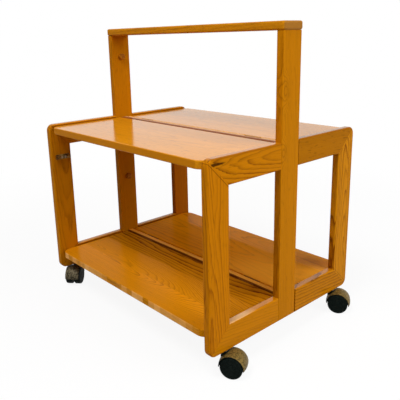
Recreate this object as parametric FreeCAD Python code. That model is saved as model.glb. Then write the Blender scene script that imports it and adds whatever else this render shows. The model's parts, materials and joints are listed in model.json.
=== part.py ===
import FreeCAD, Part
import math
import os

# Folding pine trolley table on four hooded casters.
# X runs along the length (near end +X, far end -X), Y from front (-Y) to rear (+Y), Z up.
# The origin is on the floor, under the middle of the table. All sizes are in millimetres.

Vector = FreeCAD.Vector
same_place = 1e-4               # points closer than this count as one

# Driving dimensions: end frames and centre posts
frame_length = 642.0            # over the outer faces of the end frames
frame_depth = 498.0             # over the front and rear stiles
frame_height = 423.0            # bottom rail underside to top rail top
frame_bottom = 57.0             # floor to the underside of the bottom rails
member_width = 60.0             # posts, rails and stiles, seen from the end
member_thickness = 18.0
frame_corner_radius = 18.0      # outer corners of the end frames
frame_edge_radius = 3.5
post_height = 654.0             # frame underside to the handle rail
post_edge_radius = 2.0
gate_gap = 0.4                  # between a post and the rails hinged to it
rear_foot_gap = 2.8             # between a post and the rear bottom rails, where the rear frames hang open

# Driving dimensions: handle rail
handle_thickness = 19.0
handle_end_overhang = 4.0
handle_side_overhang = 2.2
handle_corner_radius = 10.0
handle_edge_radius = 5.0

# Driving dimensions: folding leaves and the stretchers they hinge on
leaf_thickness = 18.0
upper_leaf_drop = 6.0           # leaf surface below the top rails
lower_leaf_drop = 5.0           # leaf surface below the tops of the bottom rails
leaf_recess = 4.0               # outer leaf edge behind the stile face
leaf_end_gap = 1.5              # each end of a leaf to the end frames
leaf_corner_radius = 24.0
leaf_inner_corner_radius = 4.0
leaf_edge_radius = 2.5
stretcher_width = 18.0
stretcher_height = 40.0
stretcher_edge_radius = 2.0

# Driving dimensions: leaf hinges
knuckle_radius = 2.2
knuckle_clearance = 0.3         # knuckle to wood, knuckle to knuckle
hinge_pin_radius = 1.0
pin_clearance = 0.05
hinge_length = 50.0
hinge_plate_height = 12.0
hinge_plate_thickness = 1.2
hinge_setback = 100.0           # leaf end to the middle of a hinge
fixed_knuckles = 3
moving_knuckles = 2
screw_head_radius = 1.8
screw_head_depth = 0.8
screw_shank_radius = 0.9
screw_length = 10.0
screw_setback = 8.0             # end of a hinge plate to a screw

# Driving dimensions: gate hinges between the posts and the end frames
gate_hinge_height = 30.0
gate_hinge_leaf_gap = 3.0       # top of a gate hinge to the underside of the leaf above it
gate_plate_thickness = 1.5
gate_plate_width = 13.0
gate_knuckle_radius = 2.4
gate_pin_radius = 1.2
gate_knuckles = 3

# Driving dimensions: pegs, dowels and catches
stop_peg_drop = 60.0            # underside of the handle rail to the middle of an upper stop peg
stop_peg_length = 10.0
stop_peg_rim_radius = 1.5
stop_clearance = 0.3            # folded leaf to its stop pegs
rest_peg_radius = 4.0
rest_peg_reach = 12.0
rest_clearance = 0.2            # leaf underside to the pegs it rests on
rest_peg_inset = 60.0           # post side to the inner rest pegs
rest_peg_setback = 80.0         # outer stile edge to the outer rest pegs
dowel_radius = 4.0
dowel_clearance = 0.05
dowel_depth_in_face = 12.0      # into an 18 mm face
dowel_depth_in_end = 20.0       # into end grain
handle_dowel_spacing = 30.0
stretcher_dowel_inset = 11.0    # stretcher top or underside to a dowel
mitre_dowel_length = 36.0
catch_length = 42.0
catch_height = 14.0
catch_plate_thickness = 1.5
catch_corner_radius = 3.5
catch_barrel_radius = 5.0
catch_barrel_length = 13.0
catch_roller_radius = 3.4
catch_roller_length = 5.0
catch_drop = 93.0               # top of the end frame to the middle of a catch
catch_inset = 32.0              # outer stile edge to the middle of a catch

# Driving dimensions: casters
wheel_radius = 25.0
wheel_width = 17.0
wheel_edge_radius = 2.5
wheel_running_gap = 0.8         # wheel to the web between the wheels
wheel_ring_depth = 0.7
wheel_hub_radius = 8.0
wheel_ring_width = 1.5
axle_radius = 3.0
axle_depth_in_wheel = 12.0
hood_web_width = 7.0
hood_radial_gap = 1.5
hood_wall = 1.6                 # at the rims
hood_crown = 2.2                # extra radius in the middle of the hood
hood_rim_radius = 0.7
hood_width = 41.0
hood_tail_drop = 1.5            # tail of the hood below the axle
web_drop = 6.0                  # web below the axle
stem_boss_radius = 9.0
stem_boss_length = 30.0
stem_radius = 4.0
stem_height = 34.0              # into the bottom rail
stem_web_depth = 12.0
socket_wall = 1.5
socket_height = 36.0
socket_flange_radius = 8.0
socket_flange_thickness = 1.2
swivel_gap = 0.5
caster_trail = 19.0             # stem to axle, level
caster_inset = 52.0             # outer stile edge to the stem

# Heading of each caster: degrees from +X, turning towards +Y, of the line from stem to axle
caster_heading = {
    "near_front": 27.5,
    "near_rear": 27.5,
    "far_front": -48.5,
    "far_rear": 207.5,
}

# Derived places
outer_x = frame_length / 2
inner_x = outer_x - member_thickness
mid_member_x = outer_x - member_thickness / 2
outer_y = frame_depth / 2
post_half = member_width / 2
frame_top = frame_bottom + frame_height
post_top = frame_bottom + post_height
leaf_surface = {
    "upper": frame_top - upper_leaf_drop,
    "lower": frame_bottom + member_width - lower_leaf_drop,
}
stop_peg_rise = post_top - stop_peg_drop - leaf_surface["upper"]
leaf_half_length = inner_x - leaf_end_gap
knuckle_space = knuckle_radius + knuckle_clearance
stretcher_half = stretcher_width / 2
hinge_axis_y = stretcher_half + knuckle_space
leaf_inner_y = hinge_axis_y + knuckle_space
leaf_outer_y = outer_y - leaf_recess
rest_peg_places = (post_half + rest_peg_inset, outer_y - rest_peg_setback)
stop_peg_radius = hinge_axis_y - knuckle_radius - stop_clearance
hinge_middle_x = leaf_half_length - hinge_setback

ENDS = {"near": 1, "far": -1}
SIDES = {"front": -1, "rear": 1}
LEVELS = ("upper", "lower")


def box(x0, x1, y0, y1, z0, z1):
    """A box between two corners."""
    return Part.makeBox(x1 - x0, y1 - y0, z1 - z0, Vector(x0, y0, z0))


def rod(radius, start, end):
    """A round bar from one point to another."""
    along = end - start
    return Part.makeCylinder(radius, along.Length, start, along)


def prism_along_x(corners, x0, x1):
    """A prism whose section is given by (y, z) corners."""
    points = [Vector(x0, y, z) for y, z in corners]
    face = Part.Face(Part.makePolygon(points + points[:1]))
    return face.extrude(Vector(x1 - x0, 0, 0))


def flat_edges(shape, axis, values):
    """Edges that lie in one of the planes axis = value."""
    found = []
    for edge in shape.Edges:
        low = getattr(edge.BoundBox, axis + "Min")
        high = getattr(edge.BoundBox, axis + "Max")
        if any(abs(low - v) < same_place and abs(high - v) < same_place for v in values):
            found.append(edge)
    return found


def upright_edges(shape, keep):
    """Straight edges parallel to Z whose (x, y) pass the test keep."""
    found = []
    for edge in shape.Edges:
        bounds = edge.BoundBox
        upright = bounds.XLength < same_place and bounds.YLength < same_place
        if upright and keep(bounds.XMin, bounds.YMin):
            found.append(edge)
    return found


def placed(shape, end=1, side=1):
    """A copy of a near-rear shape for another end or side of the table."""
    result = shape.copy()
    if end < 0:
        result = result.mirror(Vector(0, 0, 0), Vector(1, 0, 0))
    if side < 0:
        result = result.mirror(Vector(0, 0, 0), Vector(0, 1, 0))
    return result


def four_times(shapes):
    """Copies of near-rear shapes at both ends and both sides."""
    return [placed(s, end, side) for s in shapes for end in ENDS.values() for side in SIDES.values()]


def cut_all(shape, tools):
    """The shape with every tool cut away."""
    return shape.cut(Part.Compound(tools))


# Pegs and dowels, near-rear quarter
def rest_peg(level, y, clearance=0.0):
    """A dowel in a rail, that the end of a leaf rests on."""
    z = leaf_surface[level] - leaf_thickness - rest_clearance - rest_peg_radius
    start = Vector(inner_x - rest_peg_reach, y, z)
    return rod(rest_peg_radius + clearance, start, Vector(inner_x + dowel_depth_in_face, y, z))


def rest_pegs(clearance=0.0):
    """All rest pegs of one end frame."""
    return [rest_peg(level, y, clearance) for level in LEVELS for y in rest_peg_places]


def mitre_dowels(clearance=0.0):
    """Dowels square across the two mitres of one end frame."""
    half = mitre_dowel_length / 2 / math.sqrt(2)
    y = outer_y - member_width / 2
    dowels = []
    for z, slope in ((frame_top - member_width / 2, -1), (frame_bottom + member_width / 2, 1)):
        start = Vector(mid_member_x, y - half, z - slope * half)
        end = Vector(mid_member_x, y + half, z + slope * half)
        dowels.append(rod(dowel_radius + clearance, start, end))
    return dowels


def handle_dowels(clearance=0.0):
    """Dowels between the near post and the handle rail."""
    dowels = []
    for y in (-handle_dowel_spacing / 2, handle_dowel_spacing / 2):
        start = Vector(mid_member_x, y, post_top - dowel_depth_in_end)
        end = Vector(mid_member_x, y, post_top + dowel_depth_in_face)
        dowels.append(rod(dowel_radius + clearance, start, end))
    return dowels


def stretcher_dowels(clearance=0.0):
    """Dowels between the near post and the two stretchers."""
    dowels = []
    for level in LEVELS:
        top = leaf_surface[level] - stretcher_dowel_inset
        bottom = leaf_surface[level] - stretcher_height + stretcher_dowel_inset
        for z in (top, bottom):
            start = Vector(inner_x - dowel_depth_in_end, 0, z)
            end = Vector(inner_x + dowel_depth_in_face, 0, z)
            dowels.append(rod(dowel_radius + clearance, start, end))
    return dowels


def stop_peg(level):
    """A round stop on the near post's inner face, with its shank."""
    z = leaf_surface[level] + stop_peg_rise
    tip_x = inner_x - stop_peg_length
    shank_start = Vector(inner_x - stop_peg_rim_radius, 0, z)
    shank_end = Vector(inner_x + dowel_depth_in_face, 0, z)
    head = rod(stop_peg_radius, Vector(tip_x, 0, z), Vector(inner_x, 0, z))
    head = head.makeFillet(stop_peg_rim_radius, flat_edges(head, "X", [tip_x]))
    return head.fuse(rod(dowel_radius, shank_start, shank_end)).removeSplitter()


def stop_peg_hole(level):
    """The hole for a stop peg's shank."""
    z = leaf_surface[level] + stop_peg_rise
    end = Vector(inner_x + dowel_depth_in_face, 0, z)
    return rod(dowel_radius + dowel_clearance, Vector(inner_x, 0, z), end)


# Gate hinges, in the near-rear quarter, with the gaps of the rear or the front side
def rail_start(side, level):
    """Where the rails of one side and level start, beside the post."""
    hangs_open = side == "rear" and level == "lower"
    return post_half + (rear_foot_gap if hangs_open else gate_gap)


def gate_hinge_bottom(level):
    """Lower end of a gate hinge, tucked under the leaf."""
    return leaf_surface[level] - leaf_thickness - gate_hinge_leaf_gap - gate_hinge_height


def gate_hinge(side, level):
    """Post plate, rail plate and pin of one gate hinge."""
    rail_y = rail_start(side, level)
    axis_x = inner_x - gate_knuckle_radius - knuckle_clearance
    axis_y = (post_half + rail_y) / 2
    z = gate_hinge_bottom(level)
    top = z + gate_hinge_height
    plate_end_x = inner_x + gate_plate_width
    plates = [
        box(axis_x, plate_end_x, post_half - gate_plate_thickness, post_half, z, top),
        box(axis_x, plate_end_x, rail_y, rail_y + gate_plate_thickness, z, top),
    ]

    def on_axis(radius, low, high):
        return rod(radius, Vector(axis_x, axis_y, low), Vector(axis_x, axis_y, high))

    step = gate_hinge_height / gate_knuckles
    gap = knuckle_clearance / 2
    for index in range(gate_knuckles):
        low = z + index * step
        owner = index % 2
        barrel = on_axis(gate_knuckle_radius, low + gap, low + step - gap)
        room = on_axis(gate_knuckle_radius + knuckle_clearance, low, low + step)
        plates[owner] = plates[owner].fuse(barrel)
        plates[1 - owner] = plates[1 - owner].cut(room)
    bore = on_axis(gate_pin_radius + pin_clearance, z, top)
    return plates[0].cut(bore), plates[1].cut(bore), on_axis(gate_pin_radius, z, top)


def gate_pocket(level, y):
    """Recess for a gate hinge plate whose lower Y face is at y."""
    z = gate_hinge_bottom(level)
    end_x = inner_x + gate_plate_width
    return box(inner_x, end_x, y, y + gate_plate_thickness, z, z + gate_hinge_height)


# End frames, in the near-rear quarter
def frame_outline():
    """The outside of an end frame, with its two rounded corners and rounded edges."""
    y0 = post_half
    y1 = outer_y
    z0 = frame_bottom
    z1 = frame_top
    r = frame_corner_radius
    c = r * (1 - math.sqrt(0.5))

    def point(y, z):
        return Vector(inner_x, y, z)

    edges = [
        Part.LineSegment(point(y0, z0), point(y1 - r, z0)).toShape(),
        Part.Arc(point(y1 - r, z0), point(y1 - c, z0 + c), point(y1, z0 + r)).toShape(),
        Part.LineSegment(point(y1, z0 + r), point(y1, z1 - r)).toShape(),
        Part.Arc(point(y1, z1 - r), point(y1 - c, z1 - c), point(y1 - r, z1)).toShape(),
        Part.LineSegment(point(y1 - r, z1), point(y0, z1)).toShape(),
        Part.LineSegment(point(y0, z1), point(y0, z0)).toShape(),
    ]
    solid = Part.Face(Part.Wire(edges)).extrude(Vector(member_thickness, 0, 0))
    rims = flat_edges(solid, "X", [inner_x, outer_x])
    rims = [e for e in rims if e.BoundBox.YMax > y0 + same_place]
    return solid.makeFillet(frame_edge_radius, rims)


def frame_member(outline, corners, inner_axis, inner_value):
    """One mitred member of an end frame, with its two inner edges rounded."""
    prism = prism_along_x(corners, inner_x, outer_x)
    rims = flat_edges(prism, inner_axis, [inner_value])
    rims = [e for e in rims if e.BoundBox.XLength < same_place]
    return outline.common(prism.makeFillet(frame_edge_radius, rims))


def end_frame(side):
    """Top rail, stile and bottom rail of an end frame, with the gaps of one side."""
    outline = frame_outline()
    w = member_width
    top_y = rail_start(side, "upper")
    foot_y = rail_start(side, "lower")
    y1 = outer_y
    z0 = frame_bottom
    z1 = frame_top
    top = [(top_y, z1), (y1, z1), (y1 - w, z1 - w), (top_y, z1 - w)]
    bottom = [(foot_y, z0), (y1, z0), (y1 - w, z0 + w), (foot_y, z0 + w)]
    stile = [(y1, z0), (y1, z1), (y1 - w, z1 - w), (y1 - w, z0 + w)]
    holes = rest_pegs(dowel_clearance) + mitre_dowels(dowel_clearance)
    holes += [gate_pocket(level, rail_start(side, level)) for level in LEVELS]
    holes.append(caster_socket_hole())
    return {
        "top_rail": cut_all(frame_member(outline, top, "Z", z1 - w), holes),
        "stile": cut_all(frame_member(outline, stile, "Y", y1 - w), holes),
        "bottom_rail": cut_all(frame_member(outline, bottom, "Z", z0 + w), holes),
    }


# Centre frame
def near_post():
    """The full-height post at the near end, its foot rounded like the rails."""
    post = box(inner_x, outer_x, -post_half, post_half, frame_bottom, post_top)
    foot_edges = [e for e in flat_edges(post, "Z", [frame_bottom]) if e.BoundBox.YLength > post_half]
    post = post.makeFillet(frame_edge_radius, foot_edges)
    post = post.makeFillet(post_edge_radius, upright_edges(post, lambda x, y: True))
    holes = handle_dowels(dowel_clearance) + stretcher_dowels(dowel_clearance)
    holes += [stop_peg_hole(level) for level in LEVELS]
    for level in LEVELS:
        pocket = gate_pocket(level, post_half - gate_plate_thickness)
        holes += [pocket, placed(pocket, side=-1)]
    return cut_all(post, holes)


def handle_rail():
    """The rail across the post tops, rounded all round."""
    half_x = outer_x + handle_end_overhang
    half_y = post_half + handle_side_overhang
    top = post_top + handle_thickness
    rail = box(-half_x, half_x, -half_y, half_y, post_top, top)
    rail = rail.makeFillet(handle_corner_radius, upright_edges(rail, lambda x, y: True))
    rail = rail.makeFillet(handle_edge_radius, flat_edges(rail, "Z", [post_top, top]))
    holes = handle_dowels(dowel_clearance)
    return cut_all(rail, holes + [placed(h, end=-1) for h in holes])


def stretcher(level):
    """The bar between the posts that the leaves of one level hinge on."""
    top = leaf_surface[level]
    bar = box(-inner_x, inner_x, -stretcher_half, stretcher_half, top - stretcher_height, top)
    rims = [e for e in bar.Edges if e.BoundBox.XLength > inner_x]
    bar = bar.makeFillet(stretcher_edge_radius, rims)
    holes = stretcher_dowels(dowel_clearance)
    holes += [placed(h, end=-1) for h in holes]
    for x in (-hinge_middle_x, hinge_middle_x):
        for screw in hinge_screws(x, level, fixed=True):
            holes += [screw, placed(screw, side=-1)]
    return cut_all(bar, holes)


# Leaves and their hinges, rear side
def rear_leaf(level):
    """One folding leaf on the rear side."""
    top = leaf_surface[level]
    half = leaf_half_length
    leaf = box(-half, half, leaf_inner_y, leaf_outer_y, top - leaf_thickness, top)
    middle = (leaf_inner_y + leaf_outer_y) / 2
    outer_corners = upright_edges(leaf, lambda x, y: y > middle)
    leaf = leaf.makeFillet(leaf_corner_radius, outer_corners)
    inner_corners = upright_edges(leaf, lambda x, y: abs(y - leaf_inner_y) < same_place)
    leaf = leaf.makeFillet(leaf_inner_corner_radius, inner_corners)
    leaf = leaf.makeFillet(leaf_edge_radius, flat_edges(leaf, "Z", [top - leaf_thickness, top]))
    screws = []
    for x in (-hinge_middle_x, hinge_middle_x):
        screws += hinge_screws(x, level, fixed=False)
    return cut_all(leaf, screws)


def hinge_axis_z(level):
    """Height of the leaf hinge pins: the knuckles are flush with the leaf."""
    return leaf_surface[level] - knuckle_radius


def hinge_screws(x, level, fixed):
    """Countersunk screws through one plate of a rear-side hinge."""
    if fixed:
        start_y = stretcher_half + hinge_plate_thickness
        inward = Vector(0, -1, 0)
    else:
        start_y = leaf_inner_y - hinge_plate_thickness
        inward = Vector(0, 1, 0)
    z = hinge_axis_z(level) - knuckle_space - (hinge_plate_height - knuckle_space) / 2
    screws = []
    for offset in (-hinge_length / 2 + screw_setback, hinge_length / 2 - screw_setback):
        start = Vector(x + offset, start_y, z)
        head = Part.makeCone(screw_head_radius, screw_shank_radius, screw_head_depth, start, inward)
        shank = Part.makeCylinder(screw_shank_radius, screw_length, start, inward)
        screws.append(head.fuse(shank).removeSplitter())
    return screws


def hinge_plate(x, level, fixed):
    """One plate of a rear-side butt hinge, with its knuckles."""
    axis_z = hinge_axis_z(level)
    y0 = stretcher_half if fixed else leaf_inner_y - hinge_plate_thickness
    y1 = y0 + hinge_plate_thickness
    x0 = x - hinge_length / 2
    count = fixed_knuckles + moving_knuckles
    step = hinge_length / count
    gap = knuckle_clearance / 2
    plate = box(x0, x0 + hinge_length, y0, y1, axis_z - hinge_plate_height, axis_z - knuckle_space)
    for index in range(0 if fixed else 1, count, 2):
        low = x0 + index * step + gap
        high = x0 + (index + 1) * step - gap
        barrel = rod(knuckle_radius, Vector(low, hinge_axis_y, axis_z), Vector(high, hinge_axis_y, axis_z))
        web = box(low, high, y0, y1, axis_z - knuckle_space, axis_z)
        plate = plate.fuse([barrel, web])
    bore_end = Vector(x0 + hinge_length, hinge_axis_y, axis_z)
    bore = rod(hinge_pin_radius + pin_clearance, Vector(x0, hinge_axis_y, axis_z), bore_end)
    return cut_all(plate, [bore] + hinge_screws(x, level, fixed)).removeSplitter()


def hinge_pin(x, level):
    """The pin of one rear-side hinge."""
    z = hinge_axis_z(level)
    half = hinge_length / 2
    return rod(hinge_pin_radius, Vector(x - half, hinge_axis_y, z), Vector(x + half, hinge_axis_y, z))


# Catches, made in the near-rear quarter and fitted at the far end
def catch():
    """A double roller catch on the inner face of a stile: body and two rollers."""
    y = outer_y - catch_inset
    z = frame_top - catch_drop
    half_length = catch_length / 2
    half_height = catch_height / 2
    back_x = inner_x - catch_plate_thickness
    plate = box(back_x, inner_x, y - half_length, y + half_length, z - half_height, z + half_height)
    corners = [e for e in plate.Edges if e.BoundBox.XLength > catch_plate_thickness / 2]
    axis_x = inner_x - catch_plate_thickness / 2 - catch_barrel_radius
    body = plate.makeFillet(catch_corner_radius, corners)
    rollers = []
    for way in (-1, 1):
        inner = y + way * (half_length - catch_barrel_length)
        outer = y + way * half_length
        body = body.fuse(rod(catch_barrel_radius, Vector(axis_x, inner, z), Vector(axis_x, outer, z)))
        tip = inner - way * catch_roller_length
        rollers.append(rod(catch_roller_radius, Vector(axis_x, inner, z), Vector(axis_x, tip, z)))
    return body.removeSplitter(), rollers


# Casters, in the caster's own frame: axle along Y, stem at x = -trail, floor at z = 0
def wheel_half_space():
    """Middle of the caster to the inner face of a wheel."""
    return hood_web_width / 2 + wheel_running_gap


def caster_wheel():
    """One wheel on the +Y side of its caster, with rings on its outer face."""
    start = wheel_half_space()
    centre = Vector(0, start, wheel_radius)
    outer = Vector(0, start + wheel_width, wheel_radius)
    wheel = rod(wheel_radius, centre, outer)
    wheel = wheel.makeFillet(wheel_edge_radius, flat_edges(wheel, "Y", [start, start + wheel_width]))
    tools = [rod(axle_radius + pin_clearance, centre, centre + Vector(0, axle_depth_in_wheel, 0))]
    floor_of_ring = outer - Vector(0, wheel_ring_depth, 0)
    ring_step = (wheel_radius - wheel_edge_radius - wheel_hub_radius) / 2
    for index in range(2):
        r = wheel_hub_radius + index * ring_step
        ring = rod(r + wheel_ring_width, floor_of_ring, outer).cut(rod(r, floor_of_ring, outer))
        tools.append(ring)
    return cut_all(wheel, tools)


def caster_hood():
    """Crowned hood over both wheels, with the web that holds the axle and the boss round the stem."""
    inner = wheel_radius + hood_radial_gap
    rim = inner + hood_wall
    crown = rim + hood_crown
    half = hood_width / 2
    reach = 2 * crown

    def drum(radius, half_width):
        return rod(radius, Vector(0, -half_width, wheel_radius), Vector(0, half_width, wheel_radius))

    def below(x0, x1, z):
        return box(x0, x1, -reach, reach, -reach, z)

    def section_point(y, radius):
        return Vector(0, y, wheel_radius + radius)

    section = [
        Part.LineSegment(section_point(-half, inner), section_point(half, inner)).toShape(),
        Part.LineSegment(section_point(half, inner), section_point(half, rim)).toShape(),
        Part.Arc(section_point(half, rim), section_point(0, crown), section_point(-half, rim)).toShape(),
        Part.LineSegment(section_point(-half, rim), section_point(-half, inner)).toShape(),
    ]
    face = Part.Face(Part.Wire(section))
    fender = face.revolve(Vector(0, 0, wheel_radius), Vector(0, 1, 0), 360)
    fender = fender.makeFillet(hood_rim_radius, flat_edges(fender, "Y", [-half, half]))
    fender = fender.cut(below(-reach, 0, wheel_radius))
    fender = fender.cut(below(0, reach, wheel_radius - hood_tail_drop))
    boss_top = frame_bottom - socket_flange_thickness - swivel_gap
    boss_foot = Vector(-caster_trail, 0, boss_top - stem_boss_length)
    boss = rod(stem_boss_radius, boss_foot, Vector(-caster_trail, 0, boss_top))
    web = drum(inner + hood_wall, hood_web_width / 2).cut(below(-reach, reach, wheel_radius - web_drop))
    hood = fender.fuse([boss.cut(drum(inner, half)), web]).removeSplitter()
    axle_hole = drum(axle_radius, hood_web_width)
    return cut_all(hood, [axle_hole, caster_stem()])


def caster_stem():
    """The stem, held in the hood and turning in its socket."""
    boss_top = frame_bottom - socket_flange_thickness - swivel_gap
    return rod(stem_radius, Vector(-caster_trail, 0, boss_top - stem_web_depth),
               Vector(-caster_trail, 0, frame_bottom + stem_height))


def caster_axle():
    """The axle through the web into both wheels."""
    half = wheel_half_space() + axle_depth_in_wheel - wheel_running_gap
    return rod(axle_radius, Vector(0, -half, wheel_radius), Vector(0, half, wheel_radius))


def stem_place(end, side):
    """Floor point under a caster's stem."""
    return Vector(ENDS[end] * mid_member_x, SIDES[side] * (outer_y - caster_inset), 0)


def on_caster(shape, end, side):
    """A caster shape, turned to its heading and put under its stem."""
    heading = caster_heading[end + "_" + side]
    turned = shape.copy()
    turned.translate(Vector(caster_trail, 0, 0))
    turned.rotate(Vector(0, 0, 0), Vector(0, 0, 1), heading)
    turned.translate(stem_place(end, side))
    return turned


def caster_socket_hole():
    """The hole in the near-rear bottom rail for the stem socket."""
    foot = stem_place("near", "rear") + Vector(0, 0, frame_bottom)
    return rod(stem_radius + pin_clearance + socket_wall, foot, foot + Vector(0, 0, socket_height))


def caster_socket():
    """The flanged sleeve that a stem turns in."""
    foot = stem_place("near", "rear") + Vector(0, 0, frame_bottom)
    top = foot + Vector(0, 0, socket_height)
    flange_foot = foot - Vector(0, 0, socket_flange_thickness)
    sleeve = rod(stem_radius + pin_clearance + socket_wall, foot, top)
    flange = rod(socket_flange_radius, flange_foot, foot)
    return sleeve.fuse(flange).cut(rod(stem_radius + pin_clearance, flange_foot, top)).removeSplitter()


def write(node, shapes):
    """Write one node, a shape or a group of separate shapes."""
    shape = shapes if isinstance(shapes, Part.Shape) else Part.Compound(shapes)
    assert shape.isValid(), node
    shape.exportStep("parts/" + node + ".step")
    print(node, len(shape.Solids), round(shape.Volume / 1000, 2), "cm3")


def both_sides(shapes):
    """Rear-side shapes with their front-side copies."""
    return shapes + [placed(s, side=-1) for s in shapes]


def both_ends(shapes):
    """Near-end shapes with their far-end copies."""
    return shapes + [placed(s, end=-1) for s in shapes]


def write_frame():
    """Posts, handle rail, stretchers, end frames and what joins them."""
    post = near_post()
    write("near_post", post)
    write("far_post", placed(post, end=-1))
    write("handle_rail", handle_rail())
    for level in LEVELS:
        write(level + "_stretcher", stretcher(level))
    hinge_parts = [[], [], []]
    for side, side_sign in SIDES.items():
        members = end_frame(side)
        hinges = [gate_hinge(side, level) for level in LEVELS]
        for end, end_sign in ENDS.items():
            for name, shape in members.items():
                write("_".join((end, side, name)), placed(shape, end_sign, side_sign))
            for hinge in hinges:
                for group, shape in zip(hinge_parts, hinge):
                    group.append(placed(shape, end_sign, side_sign))
    write("gate_hinge_post_plates", hinge_parts[0])
    write("gate_hinge_rail_plates", hinge_parts[1])
    write("gate_hinge_pins", hinge_parts[2])
    write("post_dowels", both_ends(handle_dowels() + stretcher_dowels()))
    write("mitre_dowels", four_times(mitre_dowels()))
    write("leaf_rest_pegs", four_times(rest_pegs()))
    write("stop_pegs", both_ends([stop_peg(level) for level in LEVELS]))
    body, rollers = catch()
    write("catch_bodies", both_sides([placed(body, end=-1)]))
    write("catch_rollers", both_sides([placed(r, end=-1) for r in rollers]))
    write("caster_sockets", four_times([caster_socket()]))


def write_leaves():
    """Leaves, their hinges and the hinge screws."""
    places = [(x, level) for x in (-hinge_middle_x, hinge_middle_x) for level in LEVELS]
    write("leaf_hinge_fixed_plates", both_sides([hinge_plate(x, level, True) for x, level in places]))
    write("leaf_hinge_pins", both_sides([hinge_pin(x, level) for x, level in places]))
    fixed_screws = [s for x, level in places for s in hinge_screws(x, level, True)]
    write("fixed_plate_screws", both_sides(fixed_screws))
    for level in LEVELS:
        leaf = rear_leaf(level)
        plates = [hinge_plate(x, level, False) for x in (-hinge_middle_x, hinge_middle_x)]
        screws = [s for x in (-hinge_middle_x, hinge_middle_x) for s in hinge_screws(x, level, False)]
        for side, sign in SIDES.items():
            name = level + "_" + side + "_leaf"
            write(name, placed(leaf, side=sign))
            write(name + "_hinge_plates", [placed(p, side=sign) for p in plates])
            write(name + "_screws", [placed(s, side=sign) for s in screws])


def write_casters():
    """Hood, pins and wheels of each caster."""
    hood = caster_hood()
    pins = [caster_stem(), caster_axle()]
    left = caster_wheel()
    right = placed(left, side=-1)
    for end in ENDS:
        for side in SIDES:
            name = end + "_" + side + "_caster"
            write(name + "_hood", on_caster(hood, end, side))
            write(name + "_pins", [on_caster(p, end, side) for p in pins])
            write(name + "_left_wheel", on_caster(left, end, side))
            write(name + "_right_wheel", on_caster(right, end, side))


os.makedirs("parts", exist_ok=True)
write_frame()
write_leaves()
write_casters()
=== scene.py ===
"""Looks of a folding pine trolley table: wood figure, casters, fittings, studio and camera.

Lengths are in metres. X runs along the table (near end +X), Y from front (-Y) to rear (+Y), Z up.
"""
import json
import logging
import math
from dataclasses import dataclass, field, replace
from enum import Enum

import bmesh
import bpy
from mathutils import Matrix, Vector


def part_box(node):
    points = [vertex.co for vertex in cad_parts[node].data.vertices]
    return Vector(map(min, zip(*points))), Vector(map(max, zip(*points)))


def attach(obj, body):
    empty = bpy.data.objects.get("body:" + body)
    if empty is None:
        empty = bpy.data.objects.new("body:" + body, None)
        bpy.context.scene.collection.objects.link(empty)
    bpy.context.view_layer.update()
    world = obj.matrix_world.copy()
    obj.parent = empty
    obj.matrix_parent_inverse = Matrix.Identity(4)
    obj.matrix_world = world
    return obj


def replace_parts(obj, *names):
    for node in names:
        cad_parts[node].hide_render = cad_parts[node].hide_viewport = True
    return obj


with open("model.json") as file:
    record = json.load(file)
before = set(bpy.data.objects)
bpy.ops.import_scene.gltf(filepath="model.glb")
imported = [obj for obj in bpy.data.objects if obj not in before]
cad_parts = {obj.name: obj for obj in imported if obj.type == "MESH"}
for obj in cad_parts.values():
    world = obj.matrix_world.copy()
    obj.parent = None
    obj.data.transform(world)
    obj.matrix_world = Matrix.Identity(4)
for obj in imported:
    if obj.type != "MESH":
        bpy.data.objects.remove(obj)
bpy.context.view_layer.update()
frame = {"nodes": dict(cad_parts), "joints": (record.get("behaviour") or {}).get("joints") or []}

log = logging.getLogger("trolley_table")

Pair = tuple[float, float]
Triple = tuple[float, float, float]
Socket = bpy.types.NodeSocket
Value = Socket | float
Inputs = dict[str | int, object]

MM = 0.001
ENDS = ("near", "far")
SIDES = ("front", "rear")
LEVELS = ("upper", "lower")
WAY = {"front": -1.0, "rear": 1.0}
ALONG_X = (1.0, 0.0, 0.0)
ALONG_Y = (0.0, 1.0, 0.0)
ALONG_Z = (0.0, 0.0, 1.0)
ROOT_HALF = math.sqrt(0.5)
SMOOTH_ANGLE = math.radians(35.0)
MERGE_DISTANCE = 1e-6
MERGE_DIGITS = 6
FIRST_COLOUR = 6
SECOND_COLOUR = 7
MIXED_COLOUR = 2
RANDOM_MAXIMUM = 3
RANDOM_NUMBER = 1


class Grain(Enum):
    """How a member lies: the coordinate indices (across, depth, along) of its wood."""

    RAIL = (2, 0, 1)
    UPRIGHT = (1, 0, 2)
    BOARD = (1, 2, 0)


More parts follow.
